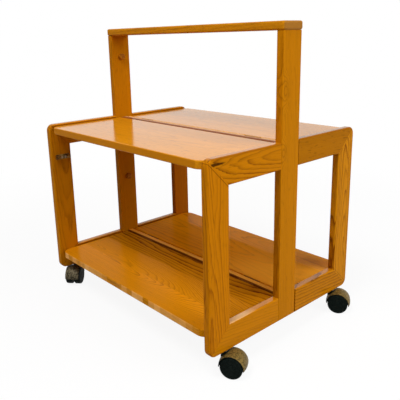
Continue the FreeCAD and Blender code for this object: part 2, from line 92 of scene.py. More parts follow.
class NodeSheet:
    """Short calls for building one node tree."""

    def __init__(self, tree: bpy.types.NodeTree) -> None:
        """Start on the tree that the nodes go into."""
        self.tree = tree

    def feed(self, target: Socket, value: object) -> None:
        """Link a socket to an input, or set a plain value on it.

        Args:
            target: The input socket.
            value: A socket or a constant.
        """
        if isinstance(value, Socket):
            self.tree.links.new(value, target)
        else:
            target.default_value = value

    def add(self, kind: str, inputs: Inputs | None = None, **settings: object) -> bpy.types.Node:
        """Add a node, set its properties and feed its inputs.

        Args:
            kind: The node's type name.
            inputs: Sockets or constants, by the input's name or number.
            settings: Properties of the node.

        Returns:
            The new node.
        """
        node = self.tree.nodes.new(kind)
        for name, value in settings.items():
            setattr(node, name, value)
        for key, value in (inputs or {}).items():
            self.feed(node.inputs[key], value)
        return node

    def math(self, operation: str, a: Value, b: Value = 0.0, clamp: bool = False) -> Socket:
        """The result of a math node, kept between 0 and 1 if it is clamped."""
        return self.add("ShaderNodeMath", {0: a, 1: b}, operation=operation, use_clamp=clamp).outputs[0]

    def plus(self, a: Value, b: Value) -> Socket:
        """The sum of two numbers."""
        return self.math("ADD", a, b)

    def minus(self, a: Value, b: Value) -> Socket:
        """The first number less the second."""
        return self.math("SUBTRACT", a, b)

    def times(self, a: Value, b: Value) -> Socket:
        """The product of two numbers."""
        return self.math("MULTIPLY", a, b)

    def over(self, a: Value, b: Value) -> Socket:
        """The first number divided by the second."""
        return self.math("DIVIDE", a, b)

    def chance(self, number: Socket) -> Socket:
        """A random share, 0 to 1, that belongs to a number."""
        return self.add("ShaderNodeTexWhiteNoise", {"W": number}, noise_dimensions="1D").outputs["Value"]

    def vector(self, operation: str, a: object, b: object = (0.0, 0.0, 0.0)) -> Socket:
        """The result of a vector math node: a number for DOT_PRODUCT and LENGTH, otherwise a vector."""
        node = self.add("ShaderNodeVectorMath", {0: a, 1: b}, operation=operation)
        return node.outputs["Value" if operation in ("DOT_PRODUCT", "LENGTH") else "Vector"]

    def split(self, vector: Socket) -> list[Socket]:
        """The sockets of a vector's X, Y and Z."""
        return list(self.add("ShaderNodeSeparateXYZ", {0: vector}).outputs)

    def join(self, x: Value, y: Value, z: Value) -> Socket:
        """A vector from three coordinates."""
        return self.add("ShaderNodeCombineXYZ", {0: x, 1: y, 2: z}).outputs[0]

    def noise(self, point: Socket, scale: Triple, detail: float = 2.0, output: str = "Fac") -> Socket:
        """Noise with its own number of cycles per metre on each axis."""
        inputs = {"Vector": self.vector("MULTIPLY", point, scale), "Scale": 1.0, "Detail": detail}
        return self.add("ShaderNodeTexNoise", inputs).outputs[output]

    def ease(self, value: Value, limits: Pair, levels: Pair = (0.0, 1.0)) -> Socket:
        """A smooth step from the first level to the second, between two limits of a value."""
        inputs = dict(enumerate((value, *limits, *levels)))
        return self.add("ShaderNodeMapRange", inputs, interpolation_type="SMOOTHSTEP").outputs[0]

    def curve(self, value: Socket, stops: tuple[Pair, ...]) -> Socket:
        """A number read off a ramp.

        Args:
            value: Position on the ramp, 0 to 1.
            stops: The ramp's (position, level) stops, in order.

        Returns:
            The level's socket.
        """
        node = self.add("ShaderNodeValToRGB", {0: value})
        elements = node.color_ramp.elements
        while len(elements) < len(stops):
            elements.new(0.5)
        for element, (position, level) in zip(elements, stops):
            element.position = position
            element.color = (level, level, level, 1.0)
        return node.outputs[0]

    def blend(self, share: Value, a: object, b: object, how: str = "MIX") -> Socket:
        """Two colours mixed.

        Args:
            share: Share of the second colour.
            a: First colour.
            b: Second colour.
            how: The blend type.

        Returns:
            The colour's socket.
        """
        first, second = (item if isinstance(item, Socket) else (*item, 1.0) for item in (a, b))
        inputs = {"Factor": share, FIRST_COLOUR: first, SECOND_COLOUR: second}
        node = self.add("ShaderNodeMix", inputs, data_type="RGBA", blend_type=how)
        return node.outputs[MIXED_COLOUR]

    def send_out(self, surface: Socket, kind: str = "Material") -> None:
        """End a material or world tree with its surface."""
        self.add(f"ShaderNodeOutput{kind}", {"Surface": surface})

    def send_out_shaded(self, surface: Inputs, bump: Inputs) -> None:
        """End a material with a shaded surface.

        Args:
            surface: Inputs of the surface.
            bump: Inputs of its bump.
        """
        normal = self.add("ShaderNodeBump", bump).outputs[0]
        shader = self.add("ShaderNodeBsdfPrincipled", {**surface, "Normal": normal})
        self.send_out(shader.outputs[0])


def blank_sheet(owner: bpy.types.Material | bpy.types.World) -> NodeSheet:
    """Empty the node tree of a material or a world.

    Args:
        owner: The material or the world.

    Returns:
        A sheet on its tree.
    """
    owner.use_nodes = True
    owner.node_tree.nodes.clear()
    return NodeSheet(owner.node_tree)


@dataclass(frozen=True)
class PineGrowth:
    """How pine grows: its noises in cycles per metre (across, depth, along), and how they move the rings."""

    slow: Triple = (9.0, 9.0, 2.6)
    quick: Triple = (70.0, 70.0, 12.0)
    quick_rings: float = 0.9
    ragged: Triple = (300.0, 300.0, 45.0)
    ragged_rings: float = 0.28
    lick: Triple = (55.0, 55.0, 34.0)
    ring_stops: tuple[Pair, ...] = (
        (0.0, 0.25), (0.07, 0.0), (0.50, 0.08), (0.80, 0.50), (0.93, 1.0), (1.0, 0.25)
    )
    faintest_ring: float = 0.4
    fibre: Triple = (800.0, 800.0, 11.0)
    fleck: Triple = (330.0, 330.0, 42.0)
    fleck_limits: Pair = (0.60, 0.72)
    shade: Triple = (6.0, 6.0, 1.4)

    def tree(self) -> bpy.types.NodeTree:
        """Build the node group that grows pine: rings round a pith, fibres and flecks.

        Returns:
            The shader node group.
        """
        tree = bpy.data.node_groups.new("pine_figure", "ShaderNodeTree")
        for way, kind, names in (
            ("INPUT", "NodeSocketVector", ("Point", "Pith", "Lean")),
            ("INPUT", "NodeSocketFloat", ("Ring Spacing", "Wander", "Bend", "Flame", "Seed")),
            ("OUTPUT", "NodeSocketFloat", ("Late", "Fibre", "Fleck", "Shade")),
        ):
            for name in names:
                tree.interface.new_socket(name, in_out=way, socket_type=kind)
        sheet = NodeSheet(tree)
        given = sheet.add("NodeGroupInput").outputs
        seed = given["Seed"]
        point = sheet.vector("ADD", given["Point"], sheet.join(seed, seed, seed))

        def ripple(scale: Triple, detail: float) -> Socket:
            """Noise about 0 at the seeded point."""
            return sheet.minus(sheet.noise(point, scale, detail), 0.5)

        across, depth, along = sheet.split(sheet.vector("SUBTRACT", given["Point"], given["Pith"]))
        slow = sheet.vector("SUBTRACT", sheet.noise(point, self.slow, 1.0, "Color"), (0.5, 0.5, 0.5))
        sides = []
        for side, lean, drift in zip((across, depth), sheet.split(given["Lean"]), sheet.split(slow)):
            leaning = sheet.plus(side, sheet.times(along, lean))
            sides.append(sheet.plus(leaning, sheet.times(drift, given["Wander"])))
        radius = sheet.plus(sheet.vector("LENGTH", sheet.join(*sides, 0.0)), given["Bend"])

        quick = sheet.times(ripple(self.quick, 2.0), self.quick_rings)
        ragged = sheet.times(ripple(self.ragged, 1.0), self.ragged_rings)
        ring = sheet.plus(sheet.over(radius, given["Ring Spacing"]), sheet.plus(quick, ragged))
        ring = sheet.plus(ring, sheet.times(ripple(self.lick, 1.0), given["Flame"]))
        chance = sheet.chance(sheet.plus(sheet.math("FLOOR", ring), seed))
        weight = sheet.plus(sheet.times(chance, 1.0 - self.faintest_ring), self.faintest_ring)
        late = sheet.times(sheet.curve(sheet.math("FRACT", ring), self.ring_stops), weight)
        fleck = sheet.ease(sheet.noise(point, self.fleck, 1.0), self.fleck_limits)
        fibre = ripple(self.fibre, 2.0)
        shade = ripple(self.shade, 2.0)
        sheet.add("NodeGroupOutput", {"Late": late, "Fibre": fibre, "Fleck": fleck, "Shade": shade})
        return tree


@dataclass(frozen=True)
class Seam:
    """A line where a plane cuts a member, between two heights: a glue line, a tinted edge, darker end grain,
    painted shade or a painted highlight.

    The plane holds the points whose product with the normal is the offset. With a patch length the line
    varies from block to block along X.
    """

    normal: Triple
    offset: float
    width: float = 0.9 * MM
    darkness: float = 0.35
    tone: Triple = (0.12, 0.030, 0.001)
    above: float = 0.0
    below: float = 10.0
    patch: float = 0.0


@dataclass(frozen=True)
class Knot:
    """A dark knot in a member, an ellipse in its (across, along) plane that bends the rings."""

    across: float
    along: float
    half_across: float
    half_along: float
    bend: float = 0.0
    darkness: float = 0.9


@dataclass(frozen=True)
class Stave:
    """One board of a glued-up leaf: its pith from the leaf's middle, its lean, rings and tone.

    The strength is how bold the rings are, the gloss is a share of the leaf's own, and the flame is how far
    the rings flicker, in ring spacings.
    """

    pith: Pair
    lean: float
    ring_spacing: float
    tone: float = 1.0
    strength: float = 0.5
    gloss: float = 1.0
    flame: float = 0.0


@dataclass(frozen=True)
class Pine:
    """Lacquered pine of one member: where its pith runs, its rings, colours and gloss."""

    grain: Grain
    pith: Pair = (0.0, -0.05)
    lean: Pair = (0.0, 0.03)
    ring_spacing: float = 6.0 * MM
    wander: float = 0.014
    seed: float = 0.0
    strength: float = 0.7
    early: Triple = (0.57, 0.200, 0.0022)
    late: Triple = (0.16, 0.035, 0.0008)
    roughness: float = 0.16
    specular: float = 0.015
    top_specular: float = 0.50
    lacquer: Triple = (1.0, 0.70, 0.20)
    flecks: float = 0.16
    seams: tuple[Seam, ...] = ()
    knots: tuple[Knot, ...] = ()
    staves: tuple[Stave, ...] = ()
    stave_start: float = 0.0
    stave_width: float = 77.0 * MM
    stave_seed_step: float = 3.7
    fibre_contrast: float = 0.22
    shade_contrast: float = 0.35
    fibre_roughness: float = 0.10
    level_faces: Pair = (0.85, 0.99)
    bump_strength: float = 0.12
    bump_depth: float = 0.3 * MM
    ring_height: float = 0.5
    seam_core: float = 0.4
    knot_tone: Triple = (0.045, 0.012, 0.001)
    knot_edge: Pair = (1.15, 0.65)
    knot_noise: Triple = (260.0, 260.0, 90.0)
    knot_reach: float = 0.45

    def build(self, name: str, centre: Vector, figure: bpy.types.NodeTree) -> bpy.types.Material:
        """Make the material of one member.

        Args:
            name: Name of the material.
            centre: Middle of the member, which the pith is measured from.
            figure: The pine figure group.

        Returns:
            The material.
        """
        material = bpy.data.materials.new(name)
        sheet = blank_sheet(material)
        coordinates = sheet.add("ShaderNodeTexCoord").outputs
        point = coordinates["Object"]
        parts = sheet.split(point)
        log_point = sheet.join(*(parts[index] for index in self.grain.value))
        middle = [centre[index] for index in self.grain.value]
        boards = self.staves or (Stave(self.pith, self.lean[1], self.ring_spacing, 1.0, self.strength),)
        number = self.stave_number(sheet, log_point)

        def of_board(value: str) -> Value:
            """The named value of the board that the point is in."""
            return self.chosen(sheet, number, [getattr(board, value) for board in boards])

        pith = []
        for axis in range(2):
            pith.append(self.chosen(sheet, number, [middle[axis] + board.pith[axis] for board in boards]))
        distances = self.knot_distances(sheet, log_point, middle)
        growth = {
            "Point": log_point,
            "Pith": sheet.join(*pith, middle[2]),
            "Lean": sheet.join(self.lean[0], of_board("lean"), 0.0),
            "Ring Spacing": of_board("ring_spacing"),
            "Wander": self.wander,
            "Bend": self.knot_bend(sheet, distances),
            "Flame": of_board("flame"),
            "Seed": sheet.plus(self.seed, sheet.times(number, self.stave_seed_step)),
        }
        late, fibre, fleck, shade = sheet.add("ShaderNodeGroup", growth, node_tree=figure).outputs

        boldness = sheet.math("MULTIPLY", late, of_board("strength"), clamp=True)
        level = sheet.plus(1.0, sheet.times(fibre, self.fibre_contrast))
        level = sheet.plus(level, sheet.times(shade, self.shade_contrast))
        level = sheet.minus(level, sheet.times(fleck, self.flecks))
        level = sheet.times(level, of_board("tone"))
        colour = sheet.blend(1.0, sheet.blend(boldness, self.early, self.late), level, "MULTIPLY")
        for knot, distance in zip(self.knots, distances):
            rough = sheet.minus(sheet.noise(log_point, self.knot_noise), 0.5)
            dark = sheet.ease(sheet.plus(distance, rough), self.knot_edge)
            colour = sheet.blend(sheet.times(dark, knot.darkness), colour, self.knot_tone)
        facing_up = sheet.split(coordinates["Normal"])[2]
        gloss = sheet.ease(facing_up, self.level_faces, (self.specular, self.top_specular))
        surface = {
            "Base Color": self.with_seams(sheet, colour, point),
            "Roughness": sheet.plus(self.roughness, sheet.times(fibre, self.fibre_roughness)),
            "Specular IOR Level": sheet.times(gloss, of_board("gloss")),
            "Specular Tint": (*self.lacquer, 1.0),
        }
        height = sheet.plus(fibre, sheet.times(late, self.ring_height))
        bump = {"Strength": self.bump_strength, "Distance": self.bump_depth, "Height": height}
        sheet.send_out_shaded(surface, bump)
        return material

    def stave_number(self, sheet: NodeSheet, log_point: Socket) -> Socket:
        """The number of the stave that a point is in, counted from the hinge."""
        away = sheet.math("ABSOLUTE", sheet.minus(sheet.split(log_point)[0], self.stave_start))
        return sheet.math("FLOOR", sheet.over(away, self.stave_width))

    @staticmethod
    def chosen(sheet: NodeSheet, number: Socket, values: list[float]) -> Value:
        """The value that belongs to a stave.

        Args:
            sheet: The material's sheet.
            number: The stave's number.
            values: One value for each stave.

        Returns:
            A plain number where there is one stave, otherwise a socket.
        """
        result: Value = values[0]
        for index, (before, value) in enumerate(zip(values, values[1:]), start=1):
            reached = sheet.math("GREATER_THAN", number, index - 0.5)
            result = sheet.plus(result, sheet.times(reached, value - before))
        return result

    def knot_distances(self, sheet: NodeSheet, log_point: Socket, middle: list[float]) -> list[Socket]:
        """How far a point is from each knot, in half sizes of the knot.

        Args:
            sheet: The material's sheet.
            log_point: The point as (across, depth, along).
            middle: Middle of the member in the same order.

        Returns:
            One distance for each knot.
        """
        distances = []
        for knot in self.knots:
            place = (middle[0] + knot.across, 0.0, middle[2] + knot.along)
            scale = (1 / knot.half_across, 0.0, 1 / knot.half_along)
            local = sheet.vector("MULTIPLY", sheet.vector("SUBTRACT", log_point, place), scale)
            distances.append(sheet.vector("LENGTH", local))
        return distances

    def knot_bend(self, sheet: NodeSheet, distances: list[Socket]) -> Value:
        """How far the knots push the rings out.

        Args:
            sheet: The material's sheet.
            distances: The distance from each knot.

        Returns:
            The length that the rings move by.
        """
        bend: Value = 0.0
        for knot, distance in zip(self.knots, distances):
            swell = sheet.ease(sheet.times(distance, self.knot_reach), (1.0, 0.0))
            bend = sheet.plus(bend, sheet.times(swell, knot.bend))
        return bend

    def with_seams(self, sheet: NodeSheet, colour: Socket, point: Socket) -> Socket:
        """The colour with the member's glue lines, tinted edges, painted shade and painted highlights in it.

        Args:
            sheet: The material's sheet.
            colour: The wood's colour.
            point: The point.

        Returns:
            The colour's socket.
        """
        for seam in self.seams:
            away = sheet.minus(sheet.vector("DOT_PRODUCT", point, seam.normal), seam.offset)
            line = sheet.ease(sheet.math("ABSOLUTE", away), (seam.width, seam.width * self.seam_core))
            x, _, height = sheet.split(point)
            line = sheet.times(line, sheet.math("GREATER_THAN", height, seam.above))
            line = sheet.times(line, sheet.math("LESS_THAN", height, seam.below))
            if seam.patch:
                line = sheet.times(line, sheet.chance(sheet.math("FLOOR", sheet.over(x, seam.patch))))
            colour = sheet.blend(sheet.times(line, seam.darkness), colour, seam.tone)
        return colour


@dataclass(frozen=True)
class Speckled:
    """A finish of two tones mixed by noise: cast bronze, brass, steel, moulded plastic or turned beech.

    The painted shade ramp gives two heights and the level that the colour falls to at the lower one: painted
    shade, darker towards the bottom.
    """

    name: str
    tone: Triple
    second_tone: Triple
    metallic: float
    roughness: float
    specular: float = 0.5
    cell: float = 4.0 * MM
    contrast: Pair = (0.40, 0.62)
    detail: float = 4.0
    unevenness: float = 0.14
    grain: float = 0.35 * MM
    bump_strength: float = 0.08
    bump_depth: float = 0.2 * MM
    painted_shade_ramp: Triple = (-2.0, -1.0, 1.0)

    def build(self) -> bpy.types.Material:
        """Make the material.

        Returns:
            The material.
        """
        material = bpy.data.materials.new(self.name)
        sheet = blank_sheet(material)
        point = sheet.add("ShaderNodeTexCoord").outputs["Object"]
        share = sheet.ease(sheet.noise(point, (1 / self.cell,) * 3, self.detail), self.contrast)
        bottom, top, level = self.painted_shade_ramp
        # painted shade: the colour darkens towards the bottom
        painted_shading = sheet.ease(sheet.split(point)[2], (bottom, top), (level, 1.0))
        mottled = sheet.blend(share, self.tone, self.second_tone)
        uneven = sheet.times(sheet.minus(share, 0.5), self.unevenness)
        surface = {
            "Base Color": sheet.blend(1.0, mottled, painted_shading, "MULTIPLY"),
            "Metallic": self.metallic,
            "Specular IOR Level": self.specular,
            "Roughness": sheet.plus(uneven, self.roughness),
        }
        fine = sheet.noise(point, (1 / self.grain,) * 3)
        bump = {"Strength": self.bump_strength, "Distance": self.bump_depth, "Height": fine}
        sheet.send_out_shaded(surface, bump)
        return material


# The hood bronze darkens towards the bottom: painted shade.
HOOD_BRONZE = Speckled(
    "hood_bronze", (0.225, 0.148, 0.038), (0.095, 0.065, 0.018), 0.25, 0.42, 0.08,
    painted_shade_ramp=(10.0 * MM, 34.0 * MM, 0.45),
)
# A darker, greyer copy of the hood bronze for the far front caster, which stands in shadow under the table:
# painted shade.
SHADED_BRONZE = Speckled(
    "shaded_bronze", (0.170, 0.140, 0.082), (0.030, 0.024, 0.013), 0.25, 0.42, 0.08,
    painted_shade_ramp=(14.0 * MM, 34.0 * MM, 0.15),
)
BLACK_PLASTIC = Speckled("black_plastic", (0.005, 0.0085, 0.007), (0.009, 0.013, 0.011), 0.0, 0.42, 0.02)
BRASS = Speckled("dull_brass", (0.30, 0.19, 0.055), (0.10, 0.062, 0.018), 1.0, 0.46, 0.5, 5.0 * MM)
AGED_BRASS = Speckled("aged_brass", (0.270, 0.095, 0.010), (0.160, 0.052, 0.006), 0.10, 0.70, 0.05)
STEEL = Speckled("plated_steel", (0.55, 0.54, 0.50), (0.36, 0.35, 0.32), 0.95, 0.32)
BEECH = Speckled("turned_beech", (0.40, 0.135, 0.004), (0.26, 0.080, 0.002), 0.0, 0.40, 0.06, 6.0 * MM)


@dataclass(frozen=True)
class Palette:
    """The finishes of the fittings, made once."""

    bronze: bpy.types.Material
    shaded_bronze: bpy.types.Material
    black: bpy.types.Material
    brass: bpy.types.Material
    aged_brass: bpy.types.Material
    steel: bpy.types.Material
    beech: bpy.types.Material

    @staticmethod
    def mixed() -> "Palette":
        """Make every material of the fittings."""
        finishes = (HOOD_BRONZE, SHADED_BRONZE, BLACK_PLASTIC, BRASS, AGED_BRASS, STEEL, BEECH)
        return Palette(*(finish.build() for finish in finishes))


def dress(node: str, material: bpy.types.Material) -> None:
    """Give a construction node a finish.

    Args:
        node: Name of the node.
        material: The finish.
    """
    mesh = frame["nodes"][node].data
    mesh.materials.clear()
    mesh.materials.append(material)
    log.info("%s dressed in %s", node, material.name)


def middle_of(node: str) -> Vector:
    """The middle of a construction node's box."""
    low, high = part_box(node)
    return (Vector(low) + Vector(high)) / 2


def place_piece(name: str, mesh: bpy.types.Mesh, body: str) -> bpy.types.Object:
    """Put a finished mesh into the scene as a piece that moves with a body.

    Args:
        name: Name of the piece.
        mesh: Its mesh, in place.
        body: The body that it rides on.

    Returns:
        The piece.
    """
    mesh.name = name
    piece = bpy.data.objects.new(name, mesh)
    bpy.context.scene.collection.objects.link(piece)
    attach(piece, body)
    log.info("%s: %d faces on %s", name, len(mesh.polygons), body)
    return piece


def mesh_from(build: bmesh.types.BMesh, materials: list[bpy.types.Material]) -> bpy.types.Mesh:
    """Turn a bmesh into a mesh with outward faces, smooth where its edges are blunt.

    Args:
        build: The bmesh, which is freed.
        materials: The mesh's material slots.

    Returns:
        The mesh.
    """
    bmesh.ops.remove_doubles(build, verts=build.verts, dist=MERGE_DISTANCE)
    bmesh.ops.recalc_face_normals(build, faces=build.faces)
    for face in build.faces:
        face.smooth = True
    for edge in build.edges:
        if len(edge.link_faces) == 2 and edge.calc_face_angle(0.0) > SMOOTH_ANGLE:
            edge.smooth = False
    mesh = bpy.data.meshes.new("piece")
    build.to_mesh(mesh)
    build.free()
    for material in materials:
        mesh.materials.append(material)
    return mesh


def revolve(build: bmesh.types.BMesh, profile: list[Pair], place: Matrix, segments: int) -> None:
    """Add a closed turned solid: a profile of (along axis, radius) points, both ends on the axis.

    Args:
        build: The bmesh that it goes into.
        profile: The points, from one end of the axis to the other; the end radii are 0.
        place: Turns the axis, local X, to where the solid goes.
        segments: Steps round the axis.
    """
    rings: list[list[bmesh.types.BMVert]] = []
    for along, radius in profile:
        ring = []
        for step in range(segments if radius else 1):
            angle = math.tau * step / segments
            local = Vector((along, radius * math.cos(angle), radius * math.sin(angle)))
            ring.append(build.verts.new(place @ local))
        rings.append(ring)
    for first, second in zip(rings, rings[1:]):
        for step in range(segments):
            following = (step + 1) % segments
            corners = [first[step % len(first)], first[following % len(first)]]
            corners += [second[following % len(second)], second[step % len(second)]]
            build.faces.new(list(dict.fromkeys(corners)))


@dataclass
class WoodWork:
    """Posts, rails, stiles, stretchers and leaves: each member gets wood of its own.

    A member's figure gives its pith, lean, ring spacing, wander, seed and strength, in that order. The
    mitres' pairs say how dark the upper and the lower line are. A plain member's pith and lean swing with
    its seed, by waves across and in depth.
    """

    end_seed_step: float = 4.0
    side_seed_step: float = 2.1
    pith_depth: float = -0.04
    pith_swing: Pair = (0.06, 0.012)
    pith_waves: Pair = (7.0, 5.0)
    lean_swing: Pair = (0.02, 0.05)
    lean_waves: Pair = (3.0, 4.0)
    plain_spacing: float = 4.6 * MM
    plain_wander: float = 0.018
    plain_strength: float = 0.45
    post_seed: float = 3.0
    bold_mitres: Pair = (0.8, 0.2)
    plain_mitres: Pair = (0.4, 0.5)
    line_darkness: float = 0.9
    rail_shade_darkness: float = 0.75
    arris_darkness: float = 0.85
    # share of the painted light at the near end of the rear lower leaf
    painted_light_share: float = 0.38
    # painted shade on the far rails' inner faces beside the leaves: tone, width, depth below and height above
    # the leaf
    rail_shade_tone: Triple = (0.24, 0.052, 0.0016)
    rail_shade_width: float = 2.6 * MM
    rail_shade_depth: float = 4.0 * MM
    rail_shade_height: float = 3.0 * MM
    # painted shade in the gap in front of each stretcher, upper and lower
    gap_shade_widths: Pair = (16.0 * MM, 5.5 * MM)
    gap_shade_tones: tuple[Triple, Triple] = ((0.26, 0.050, 0.002), (0.15, 0.034, 0.0015))
    # stretcher colours, upper and lower: the wood's tone with a painted sheen in it, in place of the
    # reflection that the leaves get; strip_specular keeps real gloss almost off
    strip_sheen_tones: tuple[Triple, Triple] = ((0.80, 0.48, 0.23), (0.95, 0.420, 0.040))
    strip_specular: float = 0.004
    # painted highlight on the rear upper leaf's hinge edge, at the gap
    gap_highlight_tone: Triple = (0.95, 0.62, 0.33)
    edge_width: float = 1.2 * MM
    edge_tint: Triple = (0.60, 0.205, 0.004)
    block_tint: Triple = (0.95, 0.47, 0.12)
    block_length: float = 22.0 * MM
    end_grain_tone: Triple = (0.37, 0.155, 0.025)
    end_grain_depth: float = 5.0 * MM
    leaf_early: Triple = (0.77, 0.298, 0.008)
    leaf_late: Triple = (0.42, 0.150, 0.003)
    leaf_roughness: float = 0.14
    leaf_specular: float = 0.25
    # painted light at the near end of the rear lower leaf
    painted_light_tone: Triple = (1.0, 0.45, 0.05)
    painted_light_length: float = 300.0 * MM
    # painted highlight on the top of the near front bottom rail
    top_highlight_tone: Triple = (0.90, 0.54, 0.22)
    top_highlight_length: float = 95.0 * MM
    arris_tone: Triple = (0.36, 0.110, 0.002)
    arris_radius: float = 3.5 * MM
    figures: dict[str, Pine] = field(default_factory=dict)

    def mitre(self, side: str, level: str, darkness: float) -> Seam:
        """The glue line of one mitre, in the plane through the frame's outer corner.

        Args:
            side: Front or rear.
            level: Upper or lower corner.
            darkness: How strongly the line shows.

        Returns:
            The seam.
        """
        low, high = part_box(f"near_{side}_stile")
        up = -1.0 if level == "upper" else 1.0
        corner_z = high[2] if level == "upper" else low[2]
        half_depth = high[1] if side == "rear" else -low[1]
        normal = (0.0, WAY[side] * ROOT_HALF, up * ROOT_HALF)
        return Seam(normal, ROOT_HALF * (half_depth + up * corner_z), darkness=darkness)

    def inner_edge(self, node: str, level: str) -> Seam:
        """Painted shade on a far rail's inner face: a dark band beside a leaf.

        Args:
            node: Name of the rail.
            level: The leaf's level.

        Returns:
            The seam.
        """
        inner_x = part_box(node)[1][0]
        leaf_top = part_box(f"{level}_front_leaf")[1][2]
        heights = (leaf_top - self.rail_shade_depth, leaf_top + self.rail_shade_height)
        # painted shade: the rail's inner face darkened in a band at the leaf's level
        return Seam(ALONG_X, inner_x, self.rail_shade_width, self.rail_shade_darkness, self.rail_shade_tone, *heights)

    def arris(self, node: str) -> Seam:
        """The darker rounded edge between a near rail's outer face and its top.

        Args:
            node: Name of the rail.

        Returns:
            The seam.
        """
        outer_x, _, top_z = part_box(node)[1]
        inset = (2.0 * ROOT_HALF - 1.0) * self.arris_radius
        offset = ROOT_HALF * (outer_x + top_z) - inset
        normal = (ROOT_HALF, 0.0, ROOT_HALF)
        return Seam(normal, offset, self.arris_radius / 2, self.arris_darkness, self.arris_tone)

    def top_highlight(self) -> Seam:
        """Painted highlight on the top of the near front bottom rail, beside its stile: a paler colour in
        place of a reflection.

        Returns:
            The seam.
        """
        stile_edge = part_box("near_front_stile")[1][1]
        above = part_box("near_front_bottom_rail")[1][2] - MM
        # painted highlight: a paler top beside the stile
        return Seam(ALONG_Y, stile_edge, self.top_highlight_length, self.line_darkness, self.top_highlight_tone, above)

    def end_frame_figures(self) -> None:
        """Wood of the twelve rails and stiles; the near ones follow the boards of the real table."""
        rail = Pine(Grain.RAIL)
        stile = Pine(Grain.UPRIGHT)
        pale_top = {"top_specular": 0.45, "lacquer": (1.0, 0.94, 0.80)}
        named = {
            "near_front_top_rail": Pine(
                Grain.RAIL, (0.007, -0.015), (0.03, -0.13), 7.0 * MM, 0.032, 11.3, 0.95,
                early=(0.61, 0.208, 0.0022), late=(0.20, 0.048, 0.0010),
                knots=(Knot(0.0180, -0.088, 0.0032, 0.026, 0.004),),
            ),
            "near_front_stile": Pine(
                Grain.UPRIGHT, (-0.034, -0.010), (0.05, 0.05), 6.4 * MM, 0.055, 5.1, 0.75,
                early=(0.59, 0.196, 0.002), late=(0.24, 0.056, 0.0008),
            ),
            "near_front_bottom_rail": Pine(
                Grain.RAIL, (-0.060, -0.020), (0.14, 0.05), 7.0 * MM, 0.030, 2.7, 0.45,
                late=(0.28, 0.078, 0.0012), seams=(self.top_highlight(),), **pale_top,
            ),
            "near_rear_top_rail": Pine(
                Grain.RAIL, (0.12, -0.03), (0.05, 0.0), 2.8 * MM, 0.008, 8.8, 0.55,
                early=(0.43, 0.150, 0.0020), late=(0.17, 0.040, 0.0008), flecks=0.36,
            ),
            "near_rear_stile": Pine(
                Grain.UPRIGHT, (0.004, -0.012), (0.03, 0.09), 5.2 * MM, 0.050, 9.4, 1.2,
                early=(0.65, 0.243, 0.005), late=(0.25, 0.066, 0.0010),
            ),
            "near_rear_bottom_rail": Pine(
                Grain.RAIL, (-0.085, -0.03), (0.07, 0.0), 7.6 * MM, 0.014, 1.9, 0.9,
                late=(0.15, 0.038, 0.0008), **pale_top,
            ),
            "far_rear_stile": replace(self.varied(stile, 11.1), early=(0.42, 0.115, 0.0018)),
        }
        for end_number, end in enumerate(ENDS):
            for side_number, side in enumerate(SIDES):
                for member, plain in (("top_rail", rail), ("stile", stile), ("bottom_rail", rail)):
                    node = f"{end}_{side}_{member}"
                    seed = self.end_seed_step * end_number + self.side_seed_step * side_number + len(member)
                    self.figures[node] = named.get(node, self.varied(plain, seed))

    def varied(self, plain: Pine, seed: float) -> Pine:
        """A copy of a plain figure with its own seed, pith and lean.

        Args:
            plain: The figure to vary.
            seed: Number that sets the variation.

        Returns:
            The new figure.
        """
        across = self.pith_swing[0] * math.sin(self.pith_waves[0] * seed)
        depth = self.pith_depth + self.pith_swing[1] * math.cos(self.pith_waves[1] * seed)
        lean_across = self.lean_swing[0] * math.cos(self.lean_waves[0] * seed)
        lean_depth = self.lean_swing[1] * math.sin(self.lean_waves[1] * seed)
        return replace(
            plain, seed=seed, pith=(across, depth), lean=(lean_across, lean_depth),
            ring_spacing=self.plain_spacing, wander=self.plain_wander, strength=self.plain_strength,
        )

    def centre_figures(self) -> None:
        """Wood of the posts, the handle rail and the stretchers; the stretchers carry painted shade and a
        painted sheen.
        """
        upper_knot = Knot(-0.015, 0.205, 0.010, 0.024, 0.022, 0.10)
        lower_knot = Knot(-0.017, 0.073, 0.009, 0.020, 0.018, 0.10)
        self.figures["near_post"] = Pine(
            Grain.UPRIGHT, (0.11, -0.02), (0.012, 0.0), 4.4 * MM, 0.014, self.post_seed, 0.6,
            knots=(upper_knot, lower_knot),
        )
        self.figures["far_post"] = Pine(
            Grain.UPRIGHT, (-0.10, 0.03), (0.015, 0.0), 4.0 * MM, 0.014, self.post_seed + 2.4, 0.55
        )
        near_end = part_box("handle_rail")[1][0]
        end_grain = Seam(ALONG_X, near_end, self.end_grain_depth, self.line_darkness, self.end_grain_tone)
        self.figures["handle_rail"] = Pine(
            Grain.BOARD, (0.05, -0.04), (0.02, 0.0), 4.2 * MM, 0.014, 6.2, 0.6,
            early=(0.62, 0.230, 0.005), late=(0.24, 0.062, 0.002), seams=(end_grain,),
        )
        for number, level in enumerate(LEVELS):
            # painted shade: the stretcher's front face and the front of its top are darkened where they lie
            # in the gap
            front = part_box(f"{level}_stretcher")[0][1]
            tone = self.gap_shade_tones[number]
            gap_shade = Seam(ALONG_Y, front, self.gap_shade_widths[number], self.line_darkness, tone)
            self.figures[f"{level}_stretcher"] = Pine(
                Grain.BOARD, (0.06, -0.02), (0.01, 0.0), 4.0 * MM, 0.01, 14.0 + number, 0.35,
                early=self.strip_sheen_tones[number], late=self.leaf_late, roughness=self.leaf_roughness,
                specular=self.strip_specular, top_specular=self.strip_specular, seams=(gap_shade,),
            )

